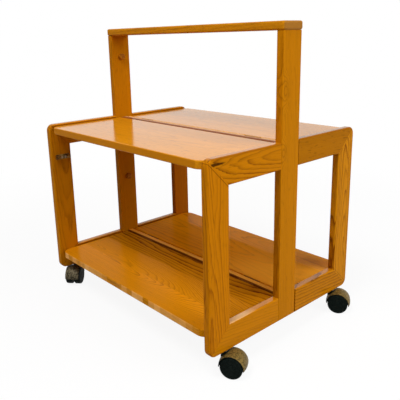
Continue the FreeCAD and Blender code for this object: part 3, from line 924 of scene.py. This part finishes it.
    def leaf_figures(self) -> None:
        """Wood of the four leaves, each glued up from three boards, listed from the hinge."""
        lower_staves = {
            "front": (
                Stave((0.15, -0.030), 0.06, 12.0 * MM, 0.77, 1.4, 0.05),
                Stave((-0.030, -0.018), 0.09, 2.8 * MM, 0.87, 0.65, 0.4, 0.5),
                Stave((-0.045, -0.018), 0.09, 2.8 * MM, 1.0, 0.58, 1.0, 0.5),
            ),
            "rear": (
                Stave((-0.15, -0.030), 0.06, 14.0 * MM, 0.95, 0.40, 0.3),
                Stave((0.004, -0.026), 0.10, 11.0 * MM, 1.03, 0.40, 0.3),
                Stave((0.090, -0.030), -0.09, 10.0 * MM, 1.12, 0.36, 2.0),
            ),
        }
        # the rear lower leaf's lighter early colour and its outer board's higher tone are partly the wood's
        # own tone and partly painted light, lifting it where it lies in shade
        lower_early = {"front": (0.70, 0.255, 0.003), "rear": (0.84, 0.306, 0.003)}
        lower_specular = {"front": 0.02, "rear": 0.01}
        for number, side in enumerate(SIDES):
            way = WAY[side]
            low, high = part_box(f"upper_{side}_leaf")
            hinge_edge, outer_edge = (low[1], high[1]) if side == "rear" else (high[1], low[1])
            stave_width = (high[1] - low[1]) / len(lower_staves[side])
            boards = {"stave_start": hinge_edge, "stave_width": stave_width}
            tinted = Seam(ALONG_Y, outer_edge, self.edge_width, self.line_darkness, self.edge_tint)
            upper_seams = [tinted]
            lower_seams = [replace(tinted, darkness=1.0, tone=self.block_tint, patch=self.block_length)]
            if side == "rear":
                # painted highlight: a pale line on the rear upper leaf's hinge edge, at the gap
                upper_seams.append(replace(tinted, offset=hinge_edge, tone=self.gap_highlight_tone))
                # painted light: a paler colour fading out from the near end of the rear lower leaf, lifting
                # it where it lies in shade
                painted_shading = Seam(ALONG_X, high[0], self.painted_light_length, self.painted_light_share, self.painted_light_tone)
                lower_seams.append(painted_shading)
            upper_staves = (
                Stave((way * -0.14, -0.05), 0.02, 8.0 * MM, 0.98, 0.42),
                Stave((way * -0.02, -0.04), 0.06, 9.0 * MM, 1.02, 0.38),
                Stave((way * 0.17, -0.04), -0.02, 8.0 * MM, 1.0, 0.42),
            )
            self.figures[f"upper_{side}_leaf"] = Pine(
                Grain.BOARD, lean=(0.004, 0.0), wander=0.03, seed=21.0 + number,
                early=self.leaf_early, late=self.leaf_late, roughness=self.leaf_roughness,
                top_specular=self.leaf_specular, flecks=0.24, seams=tuple(upper_seams),
                staves=upper_staves, **boards,
            )
            self.figures[f"lower_{side}_leaf"] = Pine(
                Grain.BOARD, lean=(0.01, 0.0), wander=0.06, seed=32.0 + number,
                early=lower_early[side], late=(0.18, 0.032, 0.0006), roughness=0.25,
                top_specular=lower_specular[side], flecks=0.10, seams=tuple(lower_seams),
                staves=lower_staves[side], **boards,
            )

    def dress(self) -> None:
        """Put every member's wood on its node."""
        self.end_frame_figures()
        self.centre_figures()
        self.leaf_figures()
        tree = PineGrowth().tree()
        for node, figure in self.figures.items():
            dress(node, self.with_joints(node, figure).build(f"pine_{node}", middle_of(node), tree))

    def with_joints(self, node: str, figure: Pine) -> Pine:
        """The figure of an end frame's member with its mitre lines, painted shade on a far rail's inner face,
        and the darker rounded edge of a near top rail.

        Args:
            node: Name of the member.
            figure: Its wood.

        Returns:
            The same wood with its seams.
        """
        words = node.split("_")
        if words[0] not in ENDS or words[-1] not in ("rail", "stile"):
            return figure
        end, side, place = words[:3]
        upper, lower = self.bold_mitres if (end, side) == ("near", "front") else self.plain_mitres
        seams = [*figure.seams, self.mitre(side, "upper", upper), self.mitre(side, "lower", lower)]
        if end == "far" and words[-1] == "rail":
            # painted shade beside the leaf on a far rail's inner face
            seams.append(self.inner_edge(node, "upper" if place == "top" else "lower"))
        if end == "near" and place == "top":
            seams.append(self.arris(node))
        return replace(figure, seams=tuple(seams))


@dataclass
class Caster:
    """One twin-wheel caster: crowned bronze hood, black body and two ringed wheels.

    The recess in a wheel's inner face gives the radii where its two sides begin and end, outwards. Each
    groove gives its outer radius, its width and the depths of its outer edge, floor and inner edge.
    """

    name: str
    wheel_radius: float = 25.0 * MM
    wheel_start: float = 4.3 * MM
    wheel_width: float = 17.0 * MM
    inner_corner: float = 1.6 * MM
    outer_corner: float = 2.6 * MM
    recess_depth: float = 0.6 * MM
    recess_inner: Pair = (6.5 * MM, 7.0 * MM)
    recess_outer: Pair = (21.0 * MM, 21.6 * MM)
    grooves: tuple[tuple[float, float, Triple], ...] = (
        (20.6 * MM, 1.9 * MM, (0.0, 0.8 * MM, 0.3 * MM)),
        (14.2 * MM, 1.9 * MM, (0.3 * MM, 0.8 * MM, 0.3 * MM)),
        (9.4 * MM, 1.6 * MM, (0.3 * MM, 0.9 * MM, 0.2 * MM)),
    )
    groove_slope: float = 0.5 * MM
    hub_radius: float = 7.1 * MM
    rim_inner: float = 26.5 * MM
    rim_wall: float = 1.6 * MM
    rim_lip: float = 0.6 * MM
    crown: float = 2.2 * MM
    half_width: float = 20.5 * MM
    tail_drop: float = 1.5 * MM
    bronze_angle: float = math.radians(20.0)
    web_half: float = 3.5 * MM
    web_drop: float = 6.0 * MM
    boss_radius: float = 9.0 * MM
    boss_length: float = 30.0 * MM
    boss_chamfer: float = 1.2 * MM
    swivel_gap: float = 0.5 * MM
    wheel_segments: int = 72
    hood_segments: int = 48
    body_segments: int = 40
    crown_steps: int = 14
    corner_steps: int = 5

    def joint(self, suffix: str) -> dict:
        """The record's joint of this caster with a given ending."""
        return next(j for j in frame["joints"] if j["name"] == self.name + suffix)

    def place(self) -> Matrix:
        """The caster's own frame: X from the stem to the axle, Y along the axle, Z up, origin at the axle.

        Returns:
            The matrix from that frame to the table's.
        """
        spin = self.joint("_left_wheel_spin")
        axle = Vector(spin["axis"]).normalized()
        up = Vector(ALONG_Z)
        turn = Matrix((axle.cross(up), axle, up)).transposed().to_4x4()
        return Matrix.Translation(Vector(spin["pos_m"])) @ turn

    def stem_offset(self) -> float:
        """How far the stem stands from the axle, level."""
        stem = Vector(self.joint("_swivel")["pos_m"])
        return (self.place().inverted() @ stem).x

    def wheel_profile(self) -> list[Pair]:
        """Half section of a wheel, from its inner to its outer face.

        Returns:
            The (along axle, radius) points.
        """
        start = self.wheel_start
        end = start + self.wheel_width
        floor = start + self.recess_depth
        points = [(start, 0.0)]
        points += zip((start, floor), self.recess_inner)
        points += zip((floor, start), self.recess_outer)
        points.append((start, self.wheel_radius - self.inner_corner))
        points += self.round_corner(start + self.inner_corner, self.inner_corner, math.pi, math.pi / 2)
        points += self.round_corner(end - self.outer_corner, self.outer_corner, math.pi / 2, 0.0)
        for outer, width, depths in self.grooves:
            points += self.groove(end, outer, width, depths)
        return points + [(end, self.hub_radius), (end, 0.0)]

    def round_corner(self, x: float, radius: float, start: float, end: float) -> list[Pair]:
        """A rounded corner of a wheel's rim.

        Args:
            x: The corner's centre along the axle.
            radius: Radius of the corner.
            start: First angle.
            end: Last angle.

        Returns:
            Points round the corner, both ends included.
        """
        y = self.wheel_radius - radius
        angles = [start + (end - start) * step / self.corner_steps for step in range(self.corner_steps + 1)]
        return [(x + radius * math.cos(angle), y + radius * math.sin(angle)) for angle in angles]

    def groove(self, face: float, outer: float, width: float, depths: Triple) -> list[Pair]:
        """A ring-shaped groove in a wheel's outer face.

        Args:
            face: The face's place along the axle.
            outer: The groove's outer radius.
            width: Its width.
            depths: How far its outer edge, floor and inner edge lie below the face.

        Returns:
            The groove's four points.
        """
        edge, floor, inner_edge = (face - depth for depth in depths)
        inner = outer - width
        slope = self.groove_slope
        return [(edge, outer), (floor, outer - slope), (floor, inner + slope), (inner_edge, inner)]

    def wheel(self, hand: str, black: bpy.types.Material) -> bpy.types.Mesh:
        """Mesh of one wheel.

        Args:
            hand: Left, on the axle's positive side, or right.
            black: The plastic.

        Returns:
            The mesh, in place.
        """
        way = 1.0 if hand == "left" else -1.0
        along_y = Matrix((ALONG_Y, (way, 0.0, 0.0), ALONG_Z)).to_4x4()
        build = bmesh.new()
        revolve(build, self.wheel_profile(), self.place() @ along_y, self.wheel_segments)
        return mesh_from(build, [black])

    def hood_section(self) -> tuple[list[Pair], list[int]]:
        """Closed section of the hood as (across, radius) points, and each side's slot: 0 bronze, 1 black.

        Returns:
            The points and the slots.
        """
        half = self.half_width
        rim = self.rim_inner + self.rim_wall
        lip = self.rim_lip
        points = [(-half, self.rim_inner + lip / 2), (-half, rim - lip)]
        bronze_sides = range(len(points), len(points) + self.crown_steps)
        for step in range(self.crown_steps + 1):
            across = -1.0 + 2.0 * step / self.crown_steps
            height = rim + self.crown * (1.0 - across * across)
            points.append((across * (half - lip), height))
        points += [(half, rim - lip), (half, self.rim_inner + lip / 2)]
        points += [(half - lip, self.rim_inner), (-half + lip, self.rim_inner)]
        return points, [0 if side in bronze_sides else 1 for side in range(len(points))]

    def hood(self, palette: Palette) -> bpy.types.Mesh:
        """Mesh of the hood: bronze outside from the tail to near the front, black elsewhere.

        Args:
            palette: The finishes.

        Returns:
            The mesh, in place.
        """
        build = bmesh.new()
        place = self.place()
        points, slots = self.hood_section()
        tail_angle = math.pi + math.asin(self.tail_drop / (self.rim_inner + self.rim_wall))
        angles = [tail_angle * step / self.hood_segments for step in range(self.hood_segments + 1)]
        sections = []
        for angle in angles:
            ring = []
            for across, radius in points:
                local = Vector((-radius * math.cos(angle), across, radius * math.sin(angle)))
                ring.append(build.verts.new(place @ local))
            sections.append(ring)
        count = len(points)
        for angle, first, second in zip(angles, sections, sections[1:]):
            for index in range(count):
                following = (index + 1) % count
                face = build.faces.new((first[index], first[following], second[following], second[index]))
                face.material_index = slots[index] if angle >= self.bronze_angle else 1
        build.faces.new(sections[0]).material_index = 1
        build.faces.new(sections[-1]).material_index = 0
        # the far front caster's hood gets the darker copy of the bronze: painted shade
        bronze = palette.shaded_bronze if self.name == "far_front_caster" else palette.bronze
        return mesh_from(build, [bronze, palette.black])

    def core(self, black: bpy.types.Material) -> bpy.types.Mesh:
        """Mesh of the black body: the web between the wheels and the boss round the stem.

        Args:
            black: The plastic.

        Returns:
            The mesh, in place.
        """
        build = bmesh.new()
        place = self.place()
        reach = self.rim_inner + self.rim_wall / 2
        dip = math.asin(self.web_drop / reach)
        outline = []
        for step in range(self.body_segments + 1):
            angle = -dip + (math.pi + 2.0 * dip) * step / self.body_segments
            outline.append((-reach * math.cos(angle), reach * math.sin(angle)))
        sides = []
        for across in (-self.web_half, self.web_half):
            sides.append([build.verts.new(place @ Vector((x, across, z))) for x, z in outline])
            build.faces.new(sides[-1])
        for index in range(len(outline)):
            following = (index + 1) % len(outline)
            build.faces.new((sides[0][index], sides[0][following], sides[1][following], sides[1][index]))
        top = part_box("caster_sockets")[0][2] - self.swivel_gap - place.translation.z
        bottom = top - self.boss_length
        radius = self.boss_radius
        chamfer = self.boss_chamfer
        profile = [(bottom, 0.0), (bottom, radius - chamfer), (bottom + chamfer, radius)]
        profile += [(top - chamfer, radius), (top, radius - chamfer), (top, 0.0)]
        upright = Matrix((ALONG_Z, ALONG_Y, ALONG_X)).to_4x4()
        shift = Matrix.Translation(Vector((self.stem_offset(), 0.0, 0.0)))
        revolve(build, profile, place @ shift @ upright, self.body_segments)
        return mesh_from(build, [black])

    def build(self, palette: Palette) -> None:
        """Make the caster's pieces and put them on their bodies.

        Args:
            palette: The finishes.
        """
        hood = place_piece(f"{self.name}_crowned_hood", self.hood(palette), self.name)
        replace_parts(hood, f"{self.name}_hood")
        place_piece(f"{self.name}_core", self.core(palette.black), self.name)
        for hand in ("left", "right"):
            body = f"{self.name}_{hand}_wheel"
            wheel = place_piece(f"{body}_ringed", self.wheel(hand, palette.black), body)
            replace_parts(wheel, body)
        dress(f"{self.name}_pins", palette.steel)


class GeometrySheet(NodeSheet):
    """Short calls for a geometry tree that sets one shape on many points."""

    def __init__(self, name: str, sizes: tuple[str, ...]) -> None:
        """Start a tree with its named inputs.

        Args:
            name: Name of the tree.
            sizes: Names of its size inputs.
        """
        super().__init__(bpy.data.node_groups.new(name, "GeometryNodeTree"))
        kinds = {"Geometry": "Geometry", **dict.fromkeys(sizes, "Float"), "Seed": "Int", "Finish": "Material"}
        for socket, kind in kinds.items():
            self.tree.interface.new_socket(socket, in_out="INPUT", socket_type=f"NodeSocket{kind}")
        self.tree.interface.new_socket("Geometry", in_out="OUTPUT", socket_type="NodeSocketGeometry")
        self.given = self.add("NodeGroupInput").outputs

    def moved(self, geometry: Socket, z: Value) -> Socket:
        """Geometry moved along Z."""
        inputs = {"Geometry": geometry, "Translation": self.join(0.0, 0.0, z)}
        return self.add("GeometryNodeTransform", inputs).outputs[0]

    def boolean(self, operation: str, meshes: tuple[Socket, Socket]) -> Socket:
        """Two meshes joined or cut.

        Args:
            operation: UNION or DIFFERENCE.
            meshes: The meshes; for a cut, the second is the tool.

        Returns:
            The result's socket.
        """
        node = self.add("GeometryNodeMeshBoolean", operation=operation, solver="EXACT")
        self.feed(node.inputs["Mesh 2" if operation == "UNION" else "Mesh 1"], meshes[0])
        self.feed(node.inputs["Mesh 2"], meshes[1])
        return node.outputs["Mesh"]

    def set_on_points(self, shape: Socket) -> bpy.types.NodeTree:
        """End the tree: the shape on every point, its Z along the facing, each turned at random.

        Args:
            shape: The shape's socket.

        Returns:
            The finished tree.
        """
        named = self.add("GeometryNodeInputNamedAttribute", {"Name": "facing"}, data_type="FLOAT_VECTOR")
        facing = {"Vector": named.outputs["Attribute"]}
        aligned = self.add("FunctionNodeAlignRotationToVector", facing, axis="Z")
        whole_turn = {RANDOM_MAXIMUM: math.tau, "Seed": self.given["Seed"]}
        chance = self.add("FunctionNodeRandomValue", whole_turn, data_type="FLOAT").outputs[RANDOM_NUMBER]
        spin = self.add("FunctionNodeAxisAngleToRotation", {"Axis": ALONG_Z, "Angle": chance})
        turns = {"Rotation": aligned.outputs[0], "Rotate By": spin.outputs[0]}
        turned = self.add("FunctionNodeRotateRotation", turns, rotation_space="LOCAL")
        seats = {"Points": self.given["Geometry"], "Instance": shape, "Rotation": turned.outputs[0]}
        copies = self.add("GeometryNodeInstanceOnPoints", seats)
        real = self.add("GeometryNodeRealizeInstances", {"Geometry": copies.outputs[0]})
        finish = {"Geometry": real.outputs[0], "Material": self.given["Finish"]}
        self.add("NodeGroupOutput", {0: self.add("GeometryNodeSetMaterial", finish).outputs[0]})
        return self.tree


@dataclass(frozen=True)
class Seat:
    """A point that a repeated piece sits on, and the way that the piece faces."""

    place: Triple
    facing: Triple


def grown(
    tree: bpy.types.NodeTree, seats: list[Seat], sizes: dict[str, float], finish: bpy.types.Material
) -> bpy.types.Mesh:
    """Run a geometry tree on its seats and keep the result as a plain mesh.

    Args:
        tree: The tree.
        seats: Where the pieces go.
        sizes: The tree's named sizes, and its seed.
        finish: The material.

    Returns:
        The mesh, in place.
    """
    points = bpy.data.meshes.new("seats")
    points.from_pydata([seat.place for seat in seats], [], [])
    facing = points.attributes.new("facing", "FLOAT_VECTOR", "POINT")
    facing.data.foreach_set("vector", [value for seat in seats for value in seat.facing])
    holder = bpy.data.objects.new("seats", points)
    bpy.context.scene.collection.objects.link(holder)
    modifier = holder.modifiers.new("grow", "NODES")
    modifier.node_group = tree
    values: dict[str, object] = {**sizes, "Finish": finish}
    for item in tree.interface.items_tree:
        if item.name in values:
            modifier[item.identifier] = values[item.name]
    graph = bpy.context.evaluated_depsgraph_get()
    result = bpy.data.meshes.new_from_object(holder.evaluated_get(graph), depsgraph=graph)
    holder.modifiers.remove(modifier)
    bpy.data.objects.remove(holder)
    build = bmesh.new()
    build.from_mesh(result)
    bpy.data.meshes.remove(result)
    return mesh_from(build, [finish])


@dataclass
class Screws:
    """Slotted screws of the leaf hinges, in the fixed plates and in the leaves."""

    head_radius: float = 1.8 * MM
    head_depth: float = 0.8 * MM
    shank_radius: float = 0.9 * MM
    shank_share: float = 0.97
    length: float = 10.0 * MM
    slot_width: float = 0.5 * MM
    slot_depth: float = 0.4 * MM
    slot_reach: float = 3.0
    pair_spacing: float = 34.0 * MM
    head_sides: int = 28
    shank_sides: int = 20
    seed: int = 7

    def sizes(self) -> dict[str, float]:
        """The tree's named sizes, and its seed."""
        names = ("head_radius", "head_depth", "shank_radius", "length", "slot_width", "slot_depth", "seed")
        return {name.replace("_", " ").title(): getattr(self, name) for name in names}

    def tree(self) -> bpy.types.NodeTree:
        """Countersunk screws with a slot across the head; the head's top is on the point.

        Returns:
            The geometry tree.
        """
        sheet = GeometrySheet("slotted_screws", tuple(name for name in self.sizes() if name != "Seed"))
        given = sheet.given
        radii = {"Radius Top": given["Head Radius"], "Radius Bottom": given["Shank Radius"]}
        cone = {"Vertices": self.head_sides, **radii, "Depth": given["Head Depth"]}
        head = sheet.add("GeometryNodeMeshCone", cone).outputs["Mesh"]
        thinner = sheet.times(given["Shank Radius"], self.shank_share)
        rod = {"Vertices": self.shank_sides, "Radius": thinner, "Depth": given["Length"]}
        shank = sheet.add("GeometryNodeMeshCylinder", rod).outputs["Mesh"]
        across = sheet.times(given["Head Radius"], self.slot_reach)
        box = sheet.join(across, given["Slot Width"], sheet.times(given["Slot Depth"], 2.0))
        slot = sheet.add("GeometryNodeMeshCube", {"Size": box}).outputs["Mesh"]
        sunk_head = sheet.moved(head, sheet.times(given["Head Depth"], -1.0))
        shank_middle = sheet.times(sheet.plus(given["Head Depth"], given["Length"]), -0.5)
        screw = sheet.boolean("UNION", (sunk_head, sheet.moved(shank, shank_middle)))
        return sheet.set_on_points(sheet.boolean("DIFFERENCE", (screw, slot)))

    def lengthwise(self, outermost: float) -> list[float]:
        """Places along the table of the screws of two hinges, from the end of the outermost head."""
        outer = outermost - self.head_radius
        return [-outer, self.pair_spacing - outer, outer - self.pair_spacing, outer]

    def seats(self, node: str, sides: tuple[str, ...], outward: float) -> list[Seat]:
        """Seats of the screws of one construction node.

        Args:
            node: The node whose box gives the places.
            sides: The sides that its screws are on.
            outward: 1 if the heads face away from the middle of the table, -1 if towards it.

        Returns:
            The seats.
        """
        low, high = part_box(node)
        lowest_and_highest = (low[2] + self.head_radius, high[2] - self.head_radius)
        heights = sorted({round(height, MERGE_DIGITS) for height in lowest_and_highest})
        edges = sorted((abs(low[1]), abs(high[1])))
        seats = []
        for side in sides:
            face = WAY[side] * (edges[1] if outward > 0 else edges[0])
            for x in self.lengthwise(high[0]):
                for z in heights:
                    seats.append(Seat((x, face, z), (0.0, WAY[side] * outward, 0.0)))
        return seats

    def build(self, palette: Palette) -> None:
        """Make the screws of every body.

        Args:
            palette: The finishes.
        """
        tree = self.tree()
        places = [("fixed_plate_screws", "frame", SIDES, 1.0)]
        for level in LEVELS:
            for side in SIDES:
                leaf = f"{level}_{side}_leaf"
                places.append((f"{leaf}_screws", leaf, (side,), -1.0))
        for node, body, sides, outward in places:
            mesh = grown(tree, self.seats(node, sides, outward), self.sizes(), palette.aged_brass)
            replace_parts(place_piece(f"{node}_slotted", mesh, body), node)


@dataclass
class Pegs:
    """Turned stop pegs on the posts and the pegs that the leaf ends rest on."""

    shank_radius: float = 4.0 * MM
    shank_length: float = 12.0 * MM
    stop_length: float = 10.0 * MM
    stop_rim: float = 2.2 * MM
    rest_radius: float = 4.0 * MM
    rest_length: float = 12.0 * MM
    rest_rim: float = 1.0 * MM
    rest_inset: float = 60.0 * MM
    turned_steps: int = 90
    turned_sides: int = 36
    seed: int = 1

    def sizes(self, radius: float, length: float, rim: float) -> dict[str, float]:
        """The tree's named sizes for one kind of head, and its seed."""
        shank = {"Shank Radius": self.shank_radius, "Shank Length": self.shank_length, "Seed": self.seed}
        return {**shank, "Head Radius": radius, "Head Length": length, "Rim Radius": rim}

    def tree(self) -> bpy.types.NodeTree:
        """Turned pegs: a shank below the point and a head above it, with a rounded rim.

        Returns:
            The geometry tree.
        """
        names = ("Head Radius", "Head Length", "Shank Radius", "Shank Length", "Rim Radius")
        sheet = GeometrySheet("turned_pegs", names)
        head_radius, head_length, shank_radius, shank_length, rim = (sheet.given[name] for name in names)
        start = sheet.join(0.0, 0.0, sheet.times(shank_length, -1.0))
        end = sheet.join(0.0, 0.0, head_length)
        line = sheet.add("GeometryNodeCurvePrimitiveLine", {"Start": start, "End": end})
        path = sheet.add("GeometryNodeResampleCurve", {"Curve": line.outputs[0], "Count": self.turned_steps})
        along = sheet.add("GeometryNodeSplineParameter").outputs["Length"]
        in_head = sheet.math("GREATER_THAN", along, shank_length)
        body = sheet.plus(shank_radius, sheet.times(in_head, sheet.minus(head_radius, shank_radius)))
        to_tip = sheet.minus(sheet.plus(shank_length, head_length), along)
        short = sheet.math("DIVIDE", sheet.minus(rim, to_tip), rim, clamp=True)
        fall = sheet.math("SQRT", sheet.math("SUBTRACT", 1.0, sheet.times(short, short), clamp=True))
        cut = sheet.times(rim, sheet.minus(1.0, fall))
        circle = {"Resolution": self.turned_sides, "Radius": 1.0}
        section = sheet.add("GeometryNodeCurvePrimitiveCircle", circle)
        turned = sheet.add("GeometryNodeCurveToMesh", {
            "Curve": path.outputs[0],
            "Profile Curve": section.outputs[0],
            "Scale": sheet.minus(body, cut),
            "Fill Caps": True,
        })
        return sheet.set_on_points(turned.outputs[0])

    def seats(self, heights: Pair, across: tuple[float, ...]) -> list[Seat]:
        """Seats on the inner faces of both ends.

        Args:
            heights: The two heights.
            across: The places from front to rear.

        Returns:
            The seats.
        """
        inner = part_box("near_post")[0][0]
        places = [(end, y, z) for end in (-1.0, 1.0) for y in across for z in heights]
        return [Seat((end * inner, y, z), (-end, 0.0, 0.0)) for end, y, z in places]

    def build(self, palette: Palette) -> None:
        """Make both kinds of peg.

        Args:
            palette: The finishes.
        """
        tree = self.tree()
        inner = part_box("near_post")[1][1] + self.rest_inset
        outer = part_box("leaf_rest_pegs")[1][1] - self.rest_radius
        stop_head = (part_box("stop_pegs")[1][1], self.stop_length, self.stop_rim)
        rest_head = (self.rest_radius, self.rest_length, self.rest_rim)
        kinds = (
            ("stop_pegs", "turned_stop_pegs", "pine", stop_head, (0.0,)),
            ("leaf_rest_pegs", "turned_rest_pegs", "beech", rest_head, (-outer, -inner, inner, outer)),
        )
        for node, name, slot, head, across in kinds:
            low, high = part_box(node)
            seats = self.seats((low[2] + head[0], high[2] - head[0]), across)
            mesh = grown(tree, seats, self.sizes(*head), palette.beech)
            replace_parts(place_piece(name, mesh, "frame"), node)


@dataclass
class Fittings:
    """Dowels, hinges, catches and sockets, which keep the construction's shapes."""

    beech: tuple[str, ...] = ("post_dowels", "mitre_dowels")
    brass: tuple[str, ...] = ("catch_bodies", "gate_hinge_post_plates", "gate_hinge_rail_plates")
    steel: tuple[str, ...] = ("gate_hinge_pins", "catch_rollers", "caster_sockets")
    aged_brass: tuple[str, ...] = (
        "leaf_hinge_fixed_plates",
        "leaf_hinge_pins",
        *(f"{level}_{side}_leaf_hinge_plates" for level in LEVELS for side in SIDES),
    )

    def dress(self, palette: Palette) -> None:
        """Give the construction's own fittings their finishes.

        Args:
            palette: The finishes.
        """
        for finish in ("beech", "brass", "steel", "aged_brass"):
            for node in getattr(self, finish):
                dress(node, getattr(palette, finish))


@dataclass(frozen=True)
class Lamp:
    """A round soft lamp that faces the table; a mirrored one shows in glossy surfaces."""

    name: str
    direction: Triple
    distance: float
    size: float
    power: float
    mirrored: bool = True


@dataclass
class Studio:
    """Pale floor, soft lamps, even room light and the camera."""

    floor_half: float = 40.0
    floor_shade: float = 0.52
    floor_shade_seen: float = 1.0
    floor_glow: float = 0.91
    shadow_reach: Pair = (0.6, 1.8)
    room_level: float = 0.14
    lamps: tuple[Lamp, ...] = (
        Lamp("top_front_light", (0.15, -0.50, 0.85), 3.0, 1.3, 60.0),
        Lamp("right_light", (0.85, 0.25, 0.46), 3.2, 2.6, 66.0),
        Lamp("back_light", (-0.80, 0.45, 0.22), 3.2, 2.2, 14.0, False),
    )
    target_height: float = 0.33
    camera_place: Pair = (1.01242, -0.90029)
    camera_rise: float = 0.64784
    camera_azimuth: float = math.radians(49.122)
    camera_elevation: float = math.radians(14.600)
    camera_roll: float = -0.0275
    sensor_width: float = 36.0
    focal_length: float = 47.308
    shift: Pair = (0.0363, -0.0676)

    def seen(self, sheet: NodeSheet) -> Socket:
        """1 for camera, mirror and glass rays, 0 for the rays that light the object.

        Args:
            sheet: The sheet of the floor or the world.

        Returns:
            The number's socket.
        """
        path = sheet.add("ShaderNodeLightPath").outputs
        seen = sheet.math("MAXIMUM", path["Is Camera Ray"], path["Is Glossy Ray"])
        return sheet.math("MAXIMUM", seen, path["Is Transmission Ray"])

    def build_floor(self) -> None:
        """A plain pale floor that keeps a faint shadow of the table."""
        build = bmesh.new()
        half = self.floor_half
        for x, y in ((-half, -half), (half, -half), (half, half), (-half, half)):
            build.verts.new((x, y, 0.0))
        build.faces.new(build.verts)
        material = bpy.data.materials.new("pale_floor")
        sheet = blank_sheet(material)
        direct = self.seen(sheet)
        shade = sheet.plus(self.floor_shade, sheet.times(direct, self.floor_shade_seen - self.floor_shade))
        matte = sheet.add("ShaderNodeBsdfDiffuse", {"Color": sheet.join(shade, shade, shade)})
        glow = sheet.add("ShaderNodeEmission")
        away = sheet.vector("LENGTH", sheet.add("ShaderNodeTexCoord").outputs["Object"])
        share = sheet.times(direct, sheet.ease(away, self.shadow_reach, (self.floor_glow, 1.0)))
        mix = sheet.add("ShaderNodeMixShader", {0: share, 1: matte.outputs[0], 2: glow.outputs[0]})
        sheet.send_out(mix.outputs[0])
        floor = bpy.data.objects.new("floor", mesh_from(build, [material]))
        bpy.context.scene.collection.objects.link(floor)

    def build_light(self) -> None:
        """Soft lamps from above the front, from the right and from behind, and even light from the room."""
        for lamp in self.lamps:
            light = bpy.data.lights.new(lamp.name, "AREA")
            light.shape = "DISK"
            light.size = lamp.size
            light.energy = lamp.power
            holder = bpy.data.objects.new(lamp.name, light)
            holder.visible_glossy = lamp.mirrored
            toward = Vector(lamp.direction).normalized()
            holder.location = Vector((0.0, 0.0, self.target_height)) + toward * lamp.distance
            holder.rotation_euler = toward.to_track_quat("Z", "Y").to_euler()
            bpy.context.scene.collection.objects.link(holder)
        world = bpy.data.worlds.new("room")
        sheet = blank_sheet(world)
        rise = sheet.times(self.seen(sheet), 1.0 - self.room_level)
        white = {"Strength": sheet.plus(rise, self.room_level), "Color": (1.0, 1.0, 1.0, 1.0)}
        sheet.send_out(sheet.add("ShaderNodeBackground", white).outputs[0], "World")
        bpy.context.scene.world = world

    def build_camera(self) -> None:
        """The camera of the photograph: its place, turn, focal length and shift."""
        a = self.camera_azimuth
        e = self.camera_elevation
        back = Vector((math.sin(a) * math.cos(e), -math.cos(a) * math.cos(e), math.sin(e)))
        right = Vector((math.cos(a), math.sin(a), 0.0))
        up = back.cross(right)
        c = math.cos(self.camera_roll)
        s = math.sin(self.camera_roll)
        rolled = Matrix((c * right + s * up, c * up - s * right, back)).transposed().to_4x4()
        lens = bpy.data.cameras.new("camera")
        lens.sensor_fit = "HORIZONTAL"
        lens.sensor_width = self.sensor_width
        lens.lens = self.focal_length
        lens.shift_x, lens.shift_y = self.shift
        camera = bpy.data.objects.new("camera", lens)
        post_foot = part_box("near_post")[0][2]
        place = Vector((*self.camera_place, post_foot + self.camera_rise))
        camera.matrix_world = Matrix.Translation(place) @ rolled
        bpy.context.scene.collection.objects.link(camera)
        bpy.context.scene.camera = camera

    def build(self) -> None:
        """Make the floor, the light and the camera."""
        self.build_floor()
        self.build_light()
        self.build_camera()
        bpy.context.scene.view_settings.view_transform = "Standard"


def main() -> None:
    """Build the sub-assemblies in order."""
    logging.basicConfig(level=logging.INFO, format="%(name)s: %(message)s")
    palette = Palette.mixed()
    WoodWork().dress()
    Fittings().dress(palette)
    Screws().build(palette)
    Pegs().build(palette)
    for end in ENDS:
        for side in SIDES:
            Caster(f"{end}_{side}_caster").build(palette)
    Studio().build()


if __name__ == "__main__":
    main()
